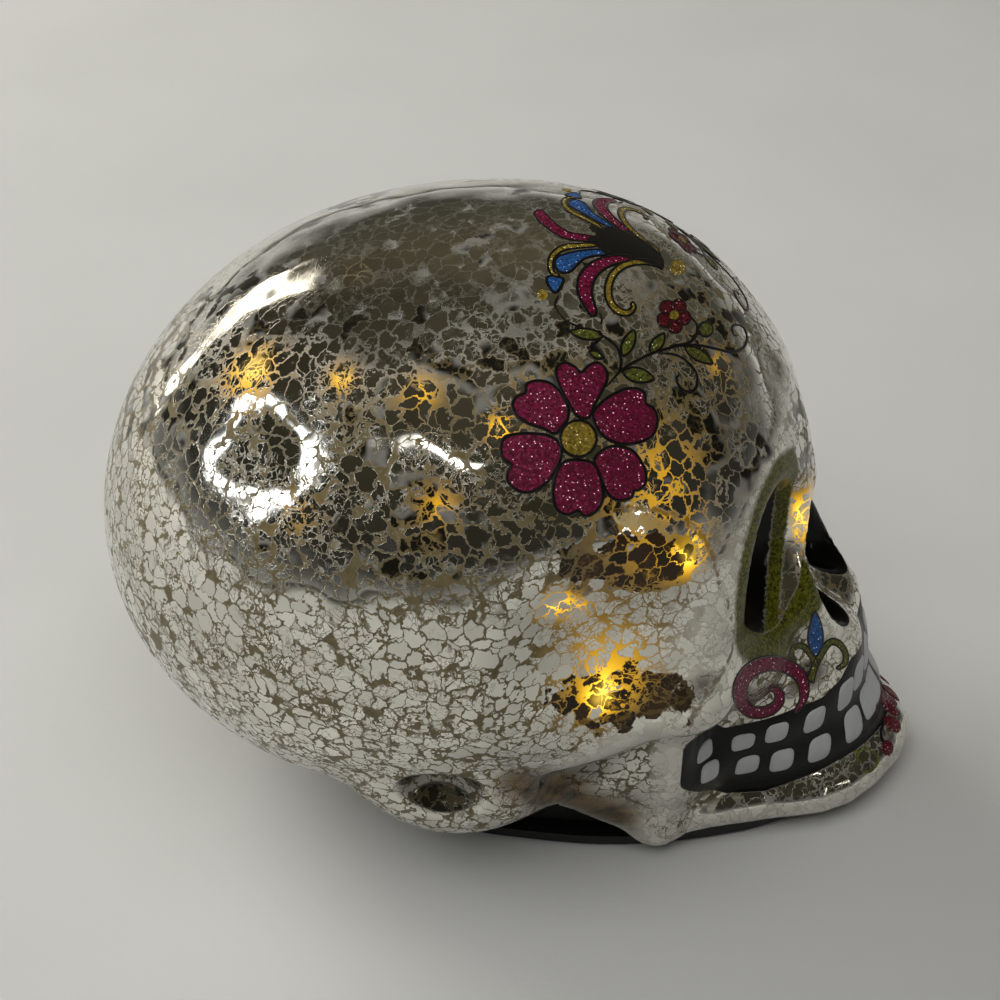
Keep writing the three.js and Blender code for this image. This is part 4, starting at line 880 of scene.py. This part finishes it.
def mercury_glass():
    made, n = material("mercury_glass")
    p = n.position_mm()
    place = n.xyz(p)
    base, vein, metal, highlight_and_fold_shade = silvering(n, p, place)
    black, ring = face_paint(n, p, place)
    flake = n.parts(n.voronoi(p, 2.6)["Color"])
    base = n.mix(ring, base, n.mix(flake[0], *EYE_OLIVE))
    base = n.mix(black, base, SOCKET_BLACK)
    rough = n.mix(vein, 0.06, 0.45, "FLOAT")
    for paint in (ring, black):
        rough = n.mix(paint, rough, 0.4, "FLOAT")
    unpainted = n.rest(n.most(ring, black))
    # Painted glow: a lit brown base and amber emission where the light string shines through the veins, less
    # over the painted highlight and fold shade
    glow = n.attribute("glow")
    through = n.times(n.most(vein, n.times(n.smooth(glow, 0.6, 1.3), 0.3)), unpainted)
    base = n.mix(n.times(n.smooth(glow, 0.05, 0.6), through), base, LIT_BROWN)
    strength = n.times(n.math("POWER", glow, 1.6), through, n.scaled(highlight_and_fold_shade, -0.75, 1.0), 2.6)
    relief = n.mix(0.5, n.times(vein, -0.2), n.times(n.noise(p, 0.07, 1.0), 6.0), "FLOAT")
    n.surface(base_color=base, metallic=n.times(metal, unpainted), roughness=rough, coat_weight=0.2,
              coat_roughness=0.02, ior=1.5, specular_level=0.1, normal=n.bump(relief, 0.3, 0.001),
              emission_color=n.mix(n.smooth(glow, 0.3, 1.5), *AMBER), emission_strength=strength)
    return made


glass = blow_glass()
dress_glass(glass)
glass.data.materials.clear()
glass.data.materials.append(mercury_glass())
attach(glass, "lamp")
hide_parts("glass_skull")


# Painted ornament: thin closed films laid on the glass

MIRROR = np.array([-1, 1, 1])
PAINT_BURY = 0.18
# Distance in pixels between the points of a film, for broad, narrow and small shapes
GRAIN, NARROW_GRAIN, SMALL_GRAIN = 3.6, 3.0, 2.6
# How near the outline a film's inner points may come, as a share of their distance
EDGE_CLEAR = 0.45
# A line's cross-section, as shares of its width and height, its foot in mm, and how it thins out at its ends
LINE_SECTION = ((-0.5, 0.0), (-0.3, 0.75), (0.0, 1.0), (0.3, 0.75), (0.5, 0.0))
LINE_FOOT, LINE_END, LINE_END_REACH = 0.02, 0.3, 0.08
# A pad's rings, as shares of its half sizes and its height
PAD_RINGS = ((0.0, 1.0), (0.45, 0.97), (0.75, 0.85), (0.92, 0.55), (1.0, 0.1))
PAD_POINTS = 28
BAND_STEPS = 5


class Film:
    """Gathers films of one paint, each with its mirror image across the face unless it is single."""

    def __init__(self):
        self.points, self.faces = [], []

    def add(self, top, bottom, faces, rim, single=False):
        """Top and bottom points that pair up, faces of the top, and the loop of points round its rim."""
        both = np.concatenate([top, bottom])
        for mirrored in (False,) if single else (False, True):
            first = len(self.points)
            under = first + len(top)
            self.points += list(both * MIRROR if mirrored else both)
            made = [[first + i for i in face] for face in faces]
            made += [[under + i for i in face[::-1]] for face in faces]
            made += [[first + b, first + a, under + a, under + b] for a, b in zip(rim, rim[1:] + rim[:1])]
            self.faces += [face[::-1] for face in made] if mirrored else made

    def build(self, name, finish):
        film = add_object(name, to_frame(self.points), self.faces)
        film.data.materials.append(finish)
        film.data.set_sharp_from_angle(angle=math.radians(FILM_SHARP))
        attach(film, "lamp")


def loop(points, per_span=6):
    """A smooth closed outline through the given points."""
    p = np.array(points, float)
    return spline(np.vstack([p[-1:], p, p[:2]]), per_span)


def within(outline, points):
    """Which points lie inside a closed outline."""
    a, b = outline, np.roll(outline, -1, 0)
    x, y = points[:, :1], points[:, 1:]
    rise = b[:, 1] - a[:, 1]
    at = a[:, 0] + (y - a[:, 1]) * (b[:, 0] - a[:, 0]) / np.where(rise == 0, 1e-9, rise)
    crosses = ((a[:, 1] > y) != (b[:, 1] > y)) & (x < at)
    return crosses.sum(1) % 2 == 1


def triangles(outline, grain):
    """Points and triangles that fill a closed outline."""
    low, high = outline.min(0), outline.max(0)
    xs = np.arange(low[0], high[0], grain)
    inner = np.stack(np.meshgrid(xs, np.arange(low[1], high[1], grain)), -1).reshape(-1, 2)
    inner[:, 0] += (np.arange(len(inner)) // max(len(xs), 1) % 2) * grain / 2
    near = np.linalg.norm(inner[:, None] - outline[None], axis=-1).min(1)
    inner = inner[(near > grain * EDGE_CLEAR) & within(outline, inner)]
    points = [Vector(p) for p in np.vstack([outline, inner])]
    made, _, faces, _, _, _ = delaunay_2d_cdt(points, neighbours(len(outline)), [], 0, 1e-4, True)
    flat = np.array([tuple(v) for v in made])
    kept = within(outline, np.array([flat[list(f)].mean(0) for f in faces]))
    faces = [f for f, keep in zip(faces, kept) if keep]
    used = sorted({i for f in faces for i in f})
    number = {v: k for k, v in enumerate(used)}
    return flat[used], [[number[i] for i in f] for f in faces]


def rim_of(faces):
    """The loop of points round the rim of a patch of faces."""
    sides = dict.fromkeys((a, b) for f in faces for a, b in zip(f, f[1:] + f[:1]))
    following = {a: b for a, b in sides if (b, a) not in sides}
    rim = [next(iter(following))]
    while following[rim[-1]] != rim[0]:
        rim.append(following[rim[-1]])
    return rim


def fill(film, outline, thick=0.07, grain=GRAIN, single=False):
    """A film inside a closed outline of photograph pixels."""
    flat, faces = triangles(outline, grain)
    rim = rim_of(faces)
    p, n = cast_pixels(flat)
    a, b, c = faces[0]
    if np.cross(p[b] - p[a], p[c] - p[a]) @ n[a] < 0:
        faces, rim = [f[::-1] for f in faces], rim[::-1]
    film.add(p + n * thick, p - n * PAINT_BURY, faces, rim, single)


def line(film, pixels, width, thick=0.12, closed=False, per_span=7, single=False):
    """A raised line of paint through photograph pixels; its width is in millimetres and may change."""
    run = np.vstack([loop(pixels, per_span), pixels[:1]]) if closed else smooth_run(pixels, per_span)
    widths = spread(width, len(run))
    if not closed:
        start = np.sqrt(np.clip(np.linspace(0, 1, len(run)) / LINE_END_REACH, 0, 1))
        for end in (start, start[::-1]):
            widths = widths * (LINE_END + (1 - LINE_END) * end)
    p, n = cast_pixels(run)
    along = unit(np.gradient(p, axis=0))
    if closed:
        along[0] = along[-1] = unit(p[1] - p[-2])
    aside = unit(np.cross(n, along)) * widths[:, None]
    top = np.concatenate([p + aside * u + n * (LINE_FOOT + thick * h) for u, h in LINE_SECTION])
    bottom = np.concatenate([p + aside * u - n * PAINT_BURY for u, _ in LINE_SECTION])
    count, rows = len(run), len(LINE_SECTION)
    faces = [[r * count + i, r * count + i + 1, (r + 1) * count + i + 1, (r + 1) * count + i]
             for r in range(rows - 1) for i in range(count - 1)]
    rim = list(range(count)) + [r * count + count - 1 for r in range(1, rows)]
    rim += [(rows - 1) * count + i for i in range(count - 2, -1, -1)]
    rim += [r * count for r in range(rows - 2, 0, -1)]
    film.add(top, bottom, faces, rim, single)


def outlined(film, pixels, width, per_span=7, single=False, **kind):
    """Paint inside a smooth outline through the pixels, with a dark line round it."""
    fill(film, loop(pixels), single=single, **kind)
    line(INK, pixels, width, closed=True, per_span=per_span, single=single)


def edged(film, outline, width, grain):
    """Paint inside the outline of a band, with a dark line round it."""
    fill(film, outline, grain=grain)
    line(INK, outline[::2], width, closed=True, per_span=2)


def pad(film, hit, half_width, half_height, power, thick, lean=0.0):
    """A rounded, slightly domed block of paint where a ray hit, with its half sizes in millimetres."""
    p, n = hit[0][0], hit[1][0]
    aside = unit(np.cross([0.0, 0.0, 1.0], n))
    upward = np.cross(n, aside)
    c, s = math.cos(math.radians(lean)), math.sin(math.radians(lean))
    aside, upward = aside * c + upward * s, upward * c - aside * s
    turns = np.linspace(0, 2 * math.pi, PAD_POINTS, endpoint=False)
    edge = np.stack([np.sign(v) * np.abs(v) ** (2 / power) * half
                     for v, half in ((np.cos(turns), half_width), (np.sin(turns), half_height))], -1)
    flat = np.concatenate([np.zeros((1, 2))] + [edge * r for r, _ in PAD_RINGS[1:]])
    lift = np.concatenate([[PAD_RINGS[0][1]]] + [np.full(PAD_POINTS, h) for _, h in PAD_RINGS[1:]])
    q = p + flat[:, :1] * aside + flat[:, 1:] * upward
    q = onto(form, q, SLOPE_STEP, 0.3)
    m = unit(slope(form, q, SLOPE_STEP))
    faces = [[0, 1 + i, 1 + j] for i, j in neighbours(PAD_POINTS)]
    for r in range(len(PAD_RINGS) - 2):
        a, b = 1 + r * PAD_POINTS, 1 + (r + 1) * PAD_POINTS
        faces += [[a + i, b + i, b + j, a + j] for i, j in neighbours(PAD_POINTS)]
    rim = [1 + (len(PAD_RINGS) - 2) * PAD_POINTS + i for i in range(PAD_POINTS)]
    film.add(q + m * (thick * lift)[:, None], q - m * PAINT_BURY, faces, rim)


# Enlargements of the photograph that the ornament is drawn on, each with its corner in pixels and its scale
SIDE_VIEW, PLUME_VIEW, CHEEK_VIEW = ((480.0, 170.0), 4.48), ((520.0, 180.0), 5.882), ((470.0, 640.0), 3.409)


def enlarged(points, view=SIDE_VIEW):
    """Pixels of the photograph from places on an enlargement of a part of it."""
    corner, times = view
    return np.array(points, float) / times + corner


def leaf(tip, root, half_width):
    """Outline of a pointed leaf."""
    tip, root = np.array(tip, float), np.array(root, float)
    along = tip - root
    aside = np.array([-along[1], along[0]]) / np.linalg.norm(along) * half_width
    places = ((0.0, 0.0), (0.22, 0.78), (0.5, 1.0), (0.78, 0.7), (1.0, 0.0))
    return ([root + along * t + aside * w for t, w in places]
            + [root + along * t - aside * w for t, w in places[-2:0:-1]])


def disc(middle, radius, count=10):
    turns = np.linspace(0, 2 * math.pi, count, endpoint=False)
    return enlarged([(middle[0] + radius * math.cos(t), middle[1] + radius * math.sin(t)) for t in turns])


def band(points, half):
    """Outline of a band along a smooth curve, from its half widths at evenly spaced places."""
    run = smooth_run(points, BAND_STEPS)
    along = unit(np.gradient(run, axis=0))
    aside = np.stack([-along[:, 1], along[:, 0]], -1) * spread(half, len(run))[:, None]
    return np.vstack([run + aside, (run - aside)[::-1]])


MAGENTA, CRIMSON, BLUE, OLIVE, GOLD, INK, TOOTH = (Film() for _ in range(7))
# Widths of the dark lines in millimetres
BROAD, MEDIUM, FINE, SLIGHT, HAIR = 0.62, 0.5, 0.45, 0.4, 0.36

FLOWER_PETALS = (
    ((340, 900), (375, 864), (420, 880), (452, 908), (485, 878), (528, 864), (562, 895), (568, 940),
     (540, 1000), (510, 1055), (488, 1108), (452, 1110), (425, 1090), (395, 1040), (360, 975)),
    ((146, 1052), (165, 1015), (202, 1000), (208, 962), (250, 945), (312, 955), (362, 1002), (392, 1062),
     (392, 1112), (365, 1152), (335, 1180), (285, 1158), (212, 1132), (162, 1096)),
    ((92, 1242), (118, 1196), (182, 1182), (270, 1184), (328, 1200), (356, 1232), (364, 1272), (345, 1330),
     (300, 1398), (240, 1438), (180, 1440), (130, 1402), (122, 1360), (140, 1322), (105, 1292)),
    ((332, 1400), (350, 1342), (384, 1306), (432, 1300), (498, 1310), (530, 1350), (546, 1412), (548, 1478),
     (520, 1528), (472, 1550), (438, 1528), (392, 1544), (345, 1520), (328, 1460)),
    ((512, 1298), (552, 1255), (604, 1238), (672, 1252), (712, 1292), (740, 1350), (740, 1405), (712, 1432),
     (690, 1436), (676, 1468), (622, 1480), (574, 1452), (545, 1392), (524, 1340)),
    ((506, 1090), (560, 1030), (640, 986), (702, 980), (738, 1002), (742, 1046), (778, 1070), (794, 1122),
     (778, 1180), (730, 1214), (652, 1228), (584, 1212), (542, 1178), (516, 1132)),
)
FLOWER_HEART = disc((440, 1204), 80, 12)


def temple_flower():
    for petal in FLOWER_PETALS:
        outlined(MAGENTA, enlarged(petal), BROAD, per_span=6)
    fill(GOLD, loop(FLOWER_HEART), thick=0.14)
    line(INK, FLOWER_HEART, BROAD, thick=0.18, closed=True)


# The plume over the forehead; its middle feather and root are single, set a little askew
FEATHER = (
    (84, 205), (90, 186), (108, 178), (135, 182), (175, 225), (225, 270), (280, 303), (340, 318),
    (400, 326), (450, 340), (436, 362), (370, 360), (290, 350), (220, 325), (160, 282), (110, 240),
)
ROOT = (
    (390, 345), (440, 326), (452, 296), (500, 280), (545, 276), (590, 296), (648, 304), (700, 340),
    (762, 378), (815, 430), (846, 480), (838, 528), (800, 508), (745, 490), (690, 474), (640, 462),
    (600, 455), (540, 440), (490, 432), (466, 402), (420, 374),
)
ROOT_DOT = disc((885, 436), 34)
BLUE_FEATHERS = (
    ((335, 415), (348, 390), (388, 375), (450, 362), (520, 356), (575, 364), (560, 380), (505, 386),
     (462, 400), (430, 430), (402, 455), (370, 460), (345, 446)),
    ((298, 486), (320, 475), (346, 480), (372, 488), (366, 515), (346, 545), (326, 545), (308, 520)),
)
PINK_FEATHER = (
    (664, 384), (562, 390), (492, 420), (447, 470), (436, 522), (446, 572), (474, 622), (500, 655),
    (520, 640), (512, 600), (500, 556), (505, 512), (522, 476), (560, 442), (612, 420), (662, 408),
)
SCROLLS = (
    (((540, 334), (440, 340), (370, 350), (327, 384), (314, 425), (326, 462), (356, 474)), 12),
    (((800, 425), (735, 412), (664, 420), (612, 450), (582, 496), (574, 552), (590, 602), (624, 634),
      (664, 640), (688, 616), (680, 594)), 15),
)
SCROLL_ENDS = (0.12, 0.92)
PLUME_DOT = disc((280, 560), 24)
TENDRILS = (
    ((352, 562), (336, 600), (350, 640), (392, 680), (440, 700)),
    ((536, 640), (546, 672), (540, 690)),
)


def plume():
    outlined(MAGENTA, enlarged(FEATHER, PLUME_VIEW), MEDIUM, single=True)
    fill(INK, loop(enlarged(ROOT, PLUME_VIEW)), thick=0.1, single=True)
    fill(GOLD, loop(ROOT_DOT), single=True)
    for feather in BLUE_FEATHERS:
        outlined(BLUE, enlarged(feather), BROAD)
    outlined(MAGENTA, enlarged(PINK_FEATHER), BROAD)
    for middle, half_width in SCROLLS:
        steps = np.linspace(*SCROLL_ENDS, BAND_STEPS * (len(middle) - 1) + 1)
        edged(GOLD, enlarged(band(middle, np.sin(steps * math.pi) ** 0.6 * half_width)), MEDIUM, NARROW_GRAIN)
    fill(GOLD, loop(PLUME_DOT))
    for tendril in TENDRILS:
        line(INK, enlarged(tendril), SLIGHT)


# The vine with its leaves, a small flower and a berry
SMALL_FLOWER, SMALL_SPREAD, SMALL_TURN = (868, 652), (44, 46), -60
SMALL_PETAL, SMALL_EDGE, SMALL_HEART = 30, 33, 20
LEAVES = (((405, 724), (548, 746), 24), ((690, 718), (640, 832), 26), ((826, 735), (764, 818), 24),
          ((778, 936), (640, 904), 32), ((1042, 866), (918, 794), 24), ((490, 814), (552, 842), 14))
BERRY, BERRY_SIZE, BERRY_EDGE = (1012, 714), 28, 32
VINES = (
    ((566, 972), (628, 902), (692, 860), (762, 826), (832, 802), (902, 786), (982, 786), (1062, 802),
     (1130, 816), (1180, 796), (1196, 750), (1180, 706), (1150, 692), (1130, 706), (1136, 736),
     (1152, 744)),
    ((622, 910), (632, 858), (610, 792), (562, 750), (530, 736)),
    ((806, 820), (880, 830), (940, 870), (972, 920), (970, 970), (945, 996), (905, 982), (880, 942),
     (894, 912)),
    ((938, 652), (970, 690), (968, 740), (930, 776), (850, 788)),
    ((985, 730), (962, 742), (950, 760)),
    ((540, 756), (500, 790), (500, 812)),
)


def vine():
    for petal in range(5):
        a = math.radians(72 * petal + SMALL_TURN)
        at = np.array(SMALL_FLOWER) + np.array(SMALL_SPREAD) * (math.cos(a), math.sin(a))
        fill(CRIMSON, loop(disc(at, SMALL_PETAL, 9)))
        line(INK, disc(at, SMALL_EDGE, 9), HAIR, closed=True)
    fill(GOLD, loop(disc(SMALL_FLOWER, SMALL_HEART)), thick=0.16)
    for shape in LEAVES:
        outlined(OLIVE, enlarged(leaf(*shape)), MEDIUM)
    fill(OLIVE, loop(disc(BERRY, BERRY_SIZE)))
    line(INK, disc(BERRY, BERRY_EDGE), MEDIUM, closed=True)
    for path in VINES:
        line(INK, enlarged(path), (MEDIUM, BROAD, MEDIUM))


# Cheek and chin: the magenta curl, the bud between its stems, and the chin's curl, stem and petals
CURL = (
    (1108, 246), (1138, 196), (1130, 130), (1080, 90), (1015, 80), (955, 105), (922, 155), (926, 212),
    (965, 246), (1020, 240), (1054, 208), (1048, 172), (1020, 162),
)
CURL_HALF = (4, 13, 21, 24, 25, 25, 24, 22, 20, 18, 16, 14, 7)
BUD = np.array([(815, 612), (821, 624), (823, 640), (818, 655), (813, 655), (808, 640), (810, 624)])
STEMS = ((((810, 682), (813, 672), (815, 664), (811, 655), (804, 647), (796, 646), (791, 654), (795, 662)),
          (3.5, 3, 3, 2.5, 2.5, 2.5, 2, 1.5)),
         (((815, 666), (820, 656), (829, 643), (838, 643), (845, 652), (845, 663), (837, 669)),
          (2.5, 3, 3, 3, 2.5, 2.5, 1.5)))
CHIN_CURL = (((862, 764), (857, 757), (862, 749), (871, 750), (878, 760), (872, 770), (862, 772)), 0.7)
CHIN_STEM = (((884, 722), (881, 735), (886, 746)), 0.8)
# Place, half width, half height and lean
CHIN_PETALS = (((886, 702), 1.9, 3.6, -20), ((893, 724), 1.8, 2.6, 30), ((888, 748), 1.7, 1.7, 0))
PETAL_SHAPE = dict(power=2.0, thick=0.25)


def cheek_and_chin():
    edged(MAGENTA, enlarged(band(CURL, CURL_HALF), CHEEK_VIEW), FINE, NARROW_GRAIN)
    outlined(BLUE, BUD, FINE, grain=SMALL_GRAIN)
    for path, half in STEMS:
        edged(OLIVE, band(path, half), SLIGHT, SMALL_GRAIN)
    line(OLIVE, *CHIN_CURL)
    line(INK, *CHIN_STEM)
    for pixel, wide, high, lean in CHIN_PETALS:
        pad(CRIMSON, cast_pixels([pixel]), wide, high, lean=lean, **PETAL_SHAPE)


# Teeth: two rows of blocks on the black band, each with its place and half sizes
UPPER_TEETH = (((704, 751), 2.3, 2.3), ((743, 742), 2.4, 2.3), ((777, 733), 2.4, 2.7), ((815, 720), 2.6, 3.1),
               ((846, 694), 2.6, 3.6), ((859, 673), 2.6, 3.7))
LOWER_TEETH = (((710, 772), 2.2, 2.6), ((747, 765), 2.5, 2.7), ((782, 761), 2.5, 3.2), ((820, 749), 2.7, 3.4),
               ((854, 725), 2.7, 4.0), ((868, 701), 2.7, 3.8))
TOOTH_SHAPE = dict(power=3.4, thick=0.35)
# The front pair of each row, which the photograph doesn't show, beside the row's last tooth
FRONT_PAIRS = ((UPPER_TEETH[-1], 2.9, 3.8), (LOWER_TEETH[-1], 3.1, 4.0))
FRONT_X, FRONT_Y, FRONT_LIFT = -3.9, -120.0, 0.5


def teeth():
    for pixel, wide, high in UPPER_TEETH + LOWER_TEETH:
        pad(TOOTH, cast_pixels([pixel]), wide, high, **TOOTH_SHAPE)
    for last, wide, high in FRONT_PAIRS:
        beside, _ = cast_pixels([last[0]])
        hit = cast([[FRONT_X, FRONT_Y, beside[0][2] + FRONT_LIFT]], [[0.0, 1.0, 0.0]])
        pad(TOOTH, hit, wide, high, **TOOTH_SHAPE)


def glitter(name, dark, bright, spark, shine):
    """Paint full of small flakes that each lean their own way; the sparkling ones take a pale colour and glow
    as painted glints.
    """
    made, n = material(name)
    flake = n.voronoi(n.position_mm(), 3.4)
    part = n.parts(flake["Color"])
    lean = n.vector("SCALE", n.vector("SUBTRACT", flake["Color"], (0.5, 0.5, 0.5)), scale=0.9)
    face = n.add("ShaderNodeNewGeometry").outputs["Normal"]
    sparkle = n.times(n.smooth(part[2], 0.90, 0.97), n.below(flake["Distance"], 0.25, 0.45))
    n.surface(base_color=n.mix(sparkle, n.mix(part[0], rgb(*dark), rgb(*bright)), rgb(*spark)), metallic=0.2,
              roughness=0.5, normal=n.vector("NORMALIZE", n.vector("ADD", face, lean)), coat_weight=0.08,
              coat_roughness=0.15, emission_color=rgb(*spark), emission_strength=n.times(sparkle, shine))
    return made


def gloss(name, tone, other, roughness):
    made, n = material(name)
    p = n.position_mm()
    n.surface(base_color=n.mix(n.noise(p, 0.6, 3.0), tone, other), roughness=roughness,
              normal=n.bump(n.noise(p, 1.2, 2.0), 0.08, 0.0002))
    return made


temple_flower()
plume()
vine()
cheek_and_chin()
teeth()
# Each paint: its name, dark and bright flake tones, the pale colour of its painted glints, and the strength
# of their glow
for film, name, *look in (
        (MAGENTA, "glitter_magenta", (70, 4, 28), (134, 12, 66), (255, 200, 222), 0.7),
        (CRIMSON, "glitter_crimson", (58, 5, 14), (108, 12, 28), (240, 180, 185), 0.3),
        (BLUE, "glitter_blue", (16, 52, 104), (40, 100, 168), (205, 230, 255), 0.4),
        (OLIVE, "glitter_olive", (52, 56, 14), (112, 116, 40), (235, 240, 190), 0.4),
        (GOLD, "glitter_gold", (96, 78, 14), (164, 140, 44), (255, 245, 190), 0.7)):
    film.build(name, glitter(name, *look))
INK.build("paint_outline", gloss("paint_outline", rgb(10, 9, 9), rgb(20, 18, 18), 0.3))
TOOTH.build("teeth", gloss("tooth_paint", rgb(176, 178, 180), rgb(196, 197, 198), 0.5))


# Finishes of the nodes that stay

def moulded(name, colour, lighter, roughness, grain_scale=4.0, grain=0.25):
    made, n = material(name)
    p = n.position_mm()
    worn = n.smooth(n.noise(p, 0.15, 3.0), 0.45, 0.7)
    n.surface(base_color=n.mix(worn, rgb(*colour), rgb(*lighter)), specular_level=0.4,
              roughness=n.mix(worn, roughness, roughness * 0.8, "FLOAT"),
              normal=n.bump(n.noise(p, grain_scale, 3.0), grain, 0.0001))
    return made


def plated(name, colour, darker, roughness):
    made, n = material(name)
    p = n.position_mm()
    streak = n.noise(n.vector("MULTIPLY", p, (0.4, 6.0, 6.0)), 1.0, 3.0)
    n.surface(base_color=n.mix(n.noise(p, 0.6, 3.0), rgb(*colour), rgb(*darker)), metallic=1.0,
              roughness=n.mix(streak, roughness * 0.7, roughness * 1.4, "FLOAT"),
              normal=n.bump(streak, 0.1, 0.00005))
    return made


def cell_jacket():
    """Green, and gold towards both ends of the cell."""
    made, n = material("cell_jacket")
    p = n.position_mm()
    ends = n.smooth(n.math("ABSOLUTE", n.xyz(p)[0]), 12.0, 12.3)
    tone = n.mix(ends, rgb(86, 104, 78), rgb(176, 150, 84))
    n.surface(base_color=n.mix(n.times(n.noise(p, 0.8, 3.0), 0.3), tone, rgb(60, 66, 56)),
              metallic=0.4, roughness=0.35, normal=n.bump(n.noise(p, 2.0), 0.05, 0.0001))
    return made


def clear_resin():
    made, n = material("clear_resin")
    core = n.noise(n.position_mm(), 0.9, 2.0)
    n.surface(base_color=n.mix(core, rgb(255, 226, 160), rgb(255, 240, 205)), roughness=0.15,
              emission_color=n.mix(core, rgb(255, 196, 96), rgb(255, 226, 160)), emission_strength=2.0,
              normal=n.bump(core, 0.1, 0.0002))
    return made


copper = plated("lacquered_copper", (201, 120, 72), (168, 92, 52), 0.25)
# Each finish with the starts of the names of its nodes
FINISHES = (
    (moulded("black_plastic", (14, 14, 14), (22, 22, 22), 0.42),
     ("base_shell", "deck_cover", "battery_door")),
    (moulded("silicone_rubber", (20, 20, 20), (30, 30, 29), 0.7, 2.0, 0.15), ("seal_ring", "string_grommet")),
    (moulded("foot_rubber", (34, 34, 34), (44, 44, 43), 0.85, 3.0, 0.3), ("foot_pad",)),
    (moulded("board_laminate", (16, 84, 46), (24, 100, 56), 0.35, 1.2, 0.1), ("circuit_board",)),
    (moulded("chip_epoxy", (18, 18, 19), (28, 28, 29), 0.5, 5.0, 0.2), ("timer_chip",)),
    (moulded("knob_plastic", (30, 30, 30), (42, 42, 42), 0.5, 3.0, 0.2), ("switch_knob",)),
    (plated("plated_steel", (205, 205, 203), (168, 168, 165), 0.28),
     ("switch_can", "door_pin", "deck_screw", "board_screw", "contact_")),
    (cell_jacket(), ("battery_cell",)),
    (clear_resin(), ("led_bead",)),
)

# The light string's pair of wires, in metres
STRING_RADIUS = 0.00045
WIRE_RADIUS = STRING_RADIUS / 2 * 0.94
TWIST, TWIST_STEPS = 0.0042, 8
PAIR_SIDES = 6
FIRST_ASIDE = [0.3, 0.5, 0.8]
END_RING_REACH = 2.1 * STRING_RADIUS


def string_centre():
    """The middle of the string's wire, ring by ring from its lowest end, in metres."""
    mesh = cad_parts["light_string"].data
    co = np.array([v.co for v in mesh.vertices])
    same = {}
    number = [same.setdefault(tuple(np.round(p / MM, 3)), len(same)) for p in co]
    place = np.zeros((len(same), 3))
    place[number] = co
    beside = [set() for _ in same]
    for edge in mesh.edges:
        a, b = (number[i] for i in edge.vertices)
        beside[a].add(b)
        beside[b].add(a)
    start = int(place[:, 2].argmin())
    near = np.linalg.norm(place - place[start], axis=1)
    level = {i for i in range(len(place)) if near[i] < END_RING_REACH}
    seen, centre = set(level), []
    while level:
        centre.append(place[sorted(level)].mean(0))
        level = {j for i in level for j in beside[i]} - seen
        seen |= level
    return np.array(centre)


def even_frames():
    """Evenly spaced places along the string, how far along they lie, and two directions across it."""
    run = smooth_run(string_centre(), TWIST_STEPS)
    far = np.concatenate([[0], np.cumsum(np.linalg.norm(np.diff(run, axis=0), axis=1))])
    steps = np.arange(0, far[-1], TWIST / TWIST_STEPS)
    run = np.stack([np.interp(steps, far, run[:, k]) for k in range(3)], -1)
    along = unit(np.gradient(run, axis=0))
    aside = [unit(np.cross(along[0], FIRST_ASIDE))]
    for t in along[1:]:
        aside.append(unit(aside[-1] - (aside[-1] @ t) * t))
    return run, steps, np.array(aside), np.cross(along, aside)


def twisted_pair():
    """Two lacquered wires wound round each other along the middle of the CAD string."""
    run, steps, aside, upward = even_frames()

    def turned(angle):
        return aside * np.cos(angle) + upward * np.sin(angle)

    points, faces = [], []
    for half in (0, math.pi):
        first = len(points)
        middle = run + turned((steps / TWIST * 2 * math.pi + half)[:, None]) * STRING_RADIUS / 2
        rings = [middle + WIRE_RADIUS * turned(2 * math.pi * k / PAIR_SIDES) for k in range(PAIR_SIDES)]
        points += list(np.stack(rings, 1).reshape(-1, 3))
        end = first + (len(run) - 1) * PAIR_SIDES
        for ring in range(first, end, PAIR_SIDES):
            faces += [tuple(ring + i for i in face) for face in wall_faces(PAIR_SIDES)]
        faces.append(tuple(range(first, first + PAIR_SIDES))[::-1])
        faces.append(tuple(range(end, end + PAIR_SIDES)))
    pair = add_object("twisted_pair", points, faces)
    pair.data.materials.append(copper)
    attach(pair, "lamp")
    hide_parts("light_string")


twisted_pair()

for node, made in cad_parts.items():
    for finish, starts in FINISHES:
        if node.startswith(starts):
            made.data.materials.clear()
            made.data.materials.append(finish)
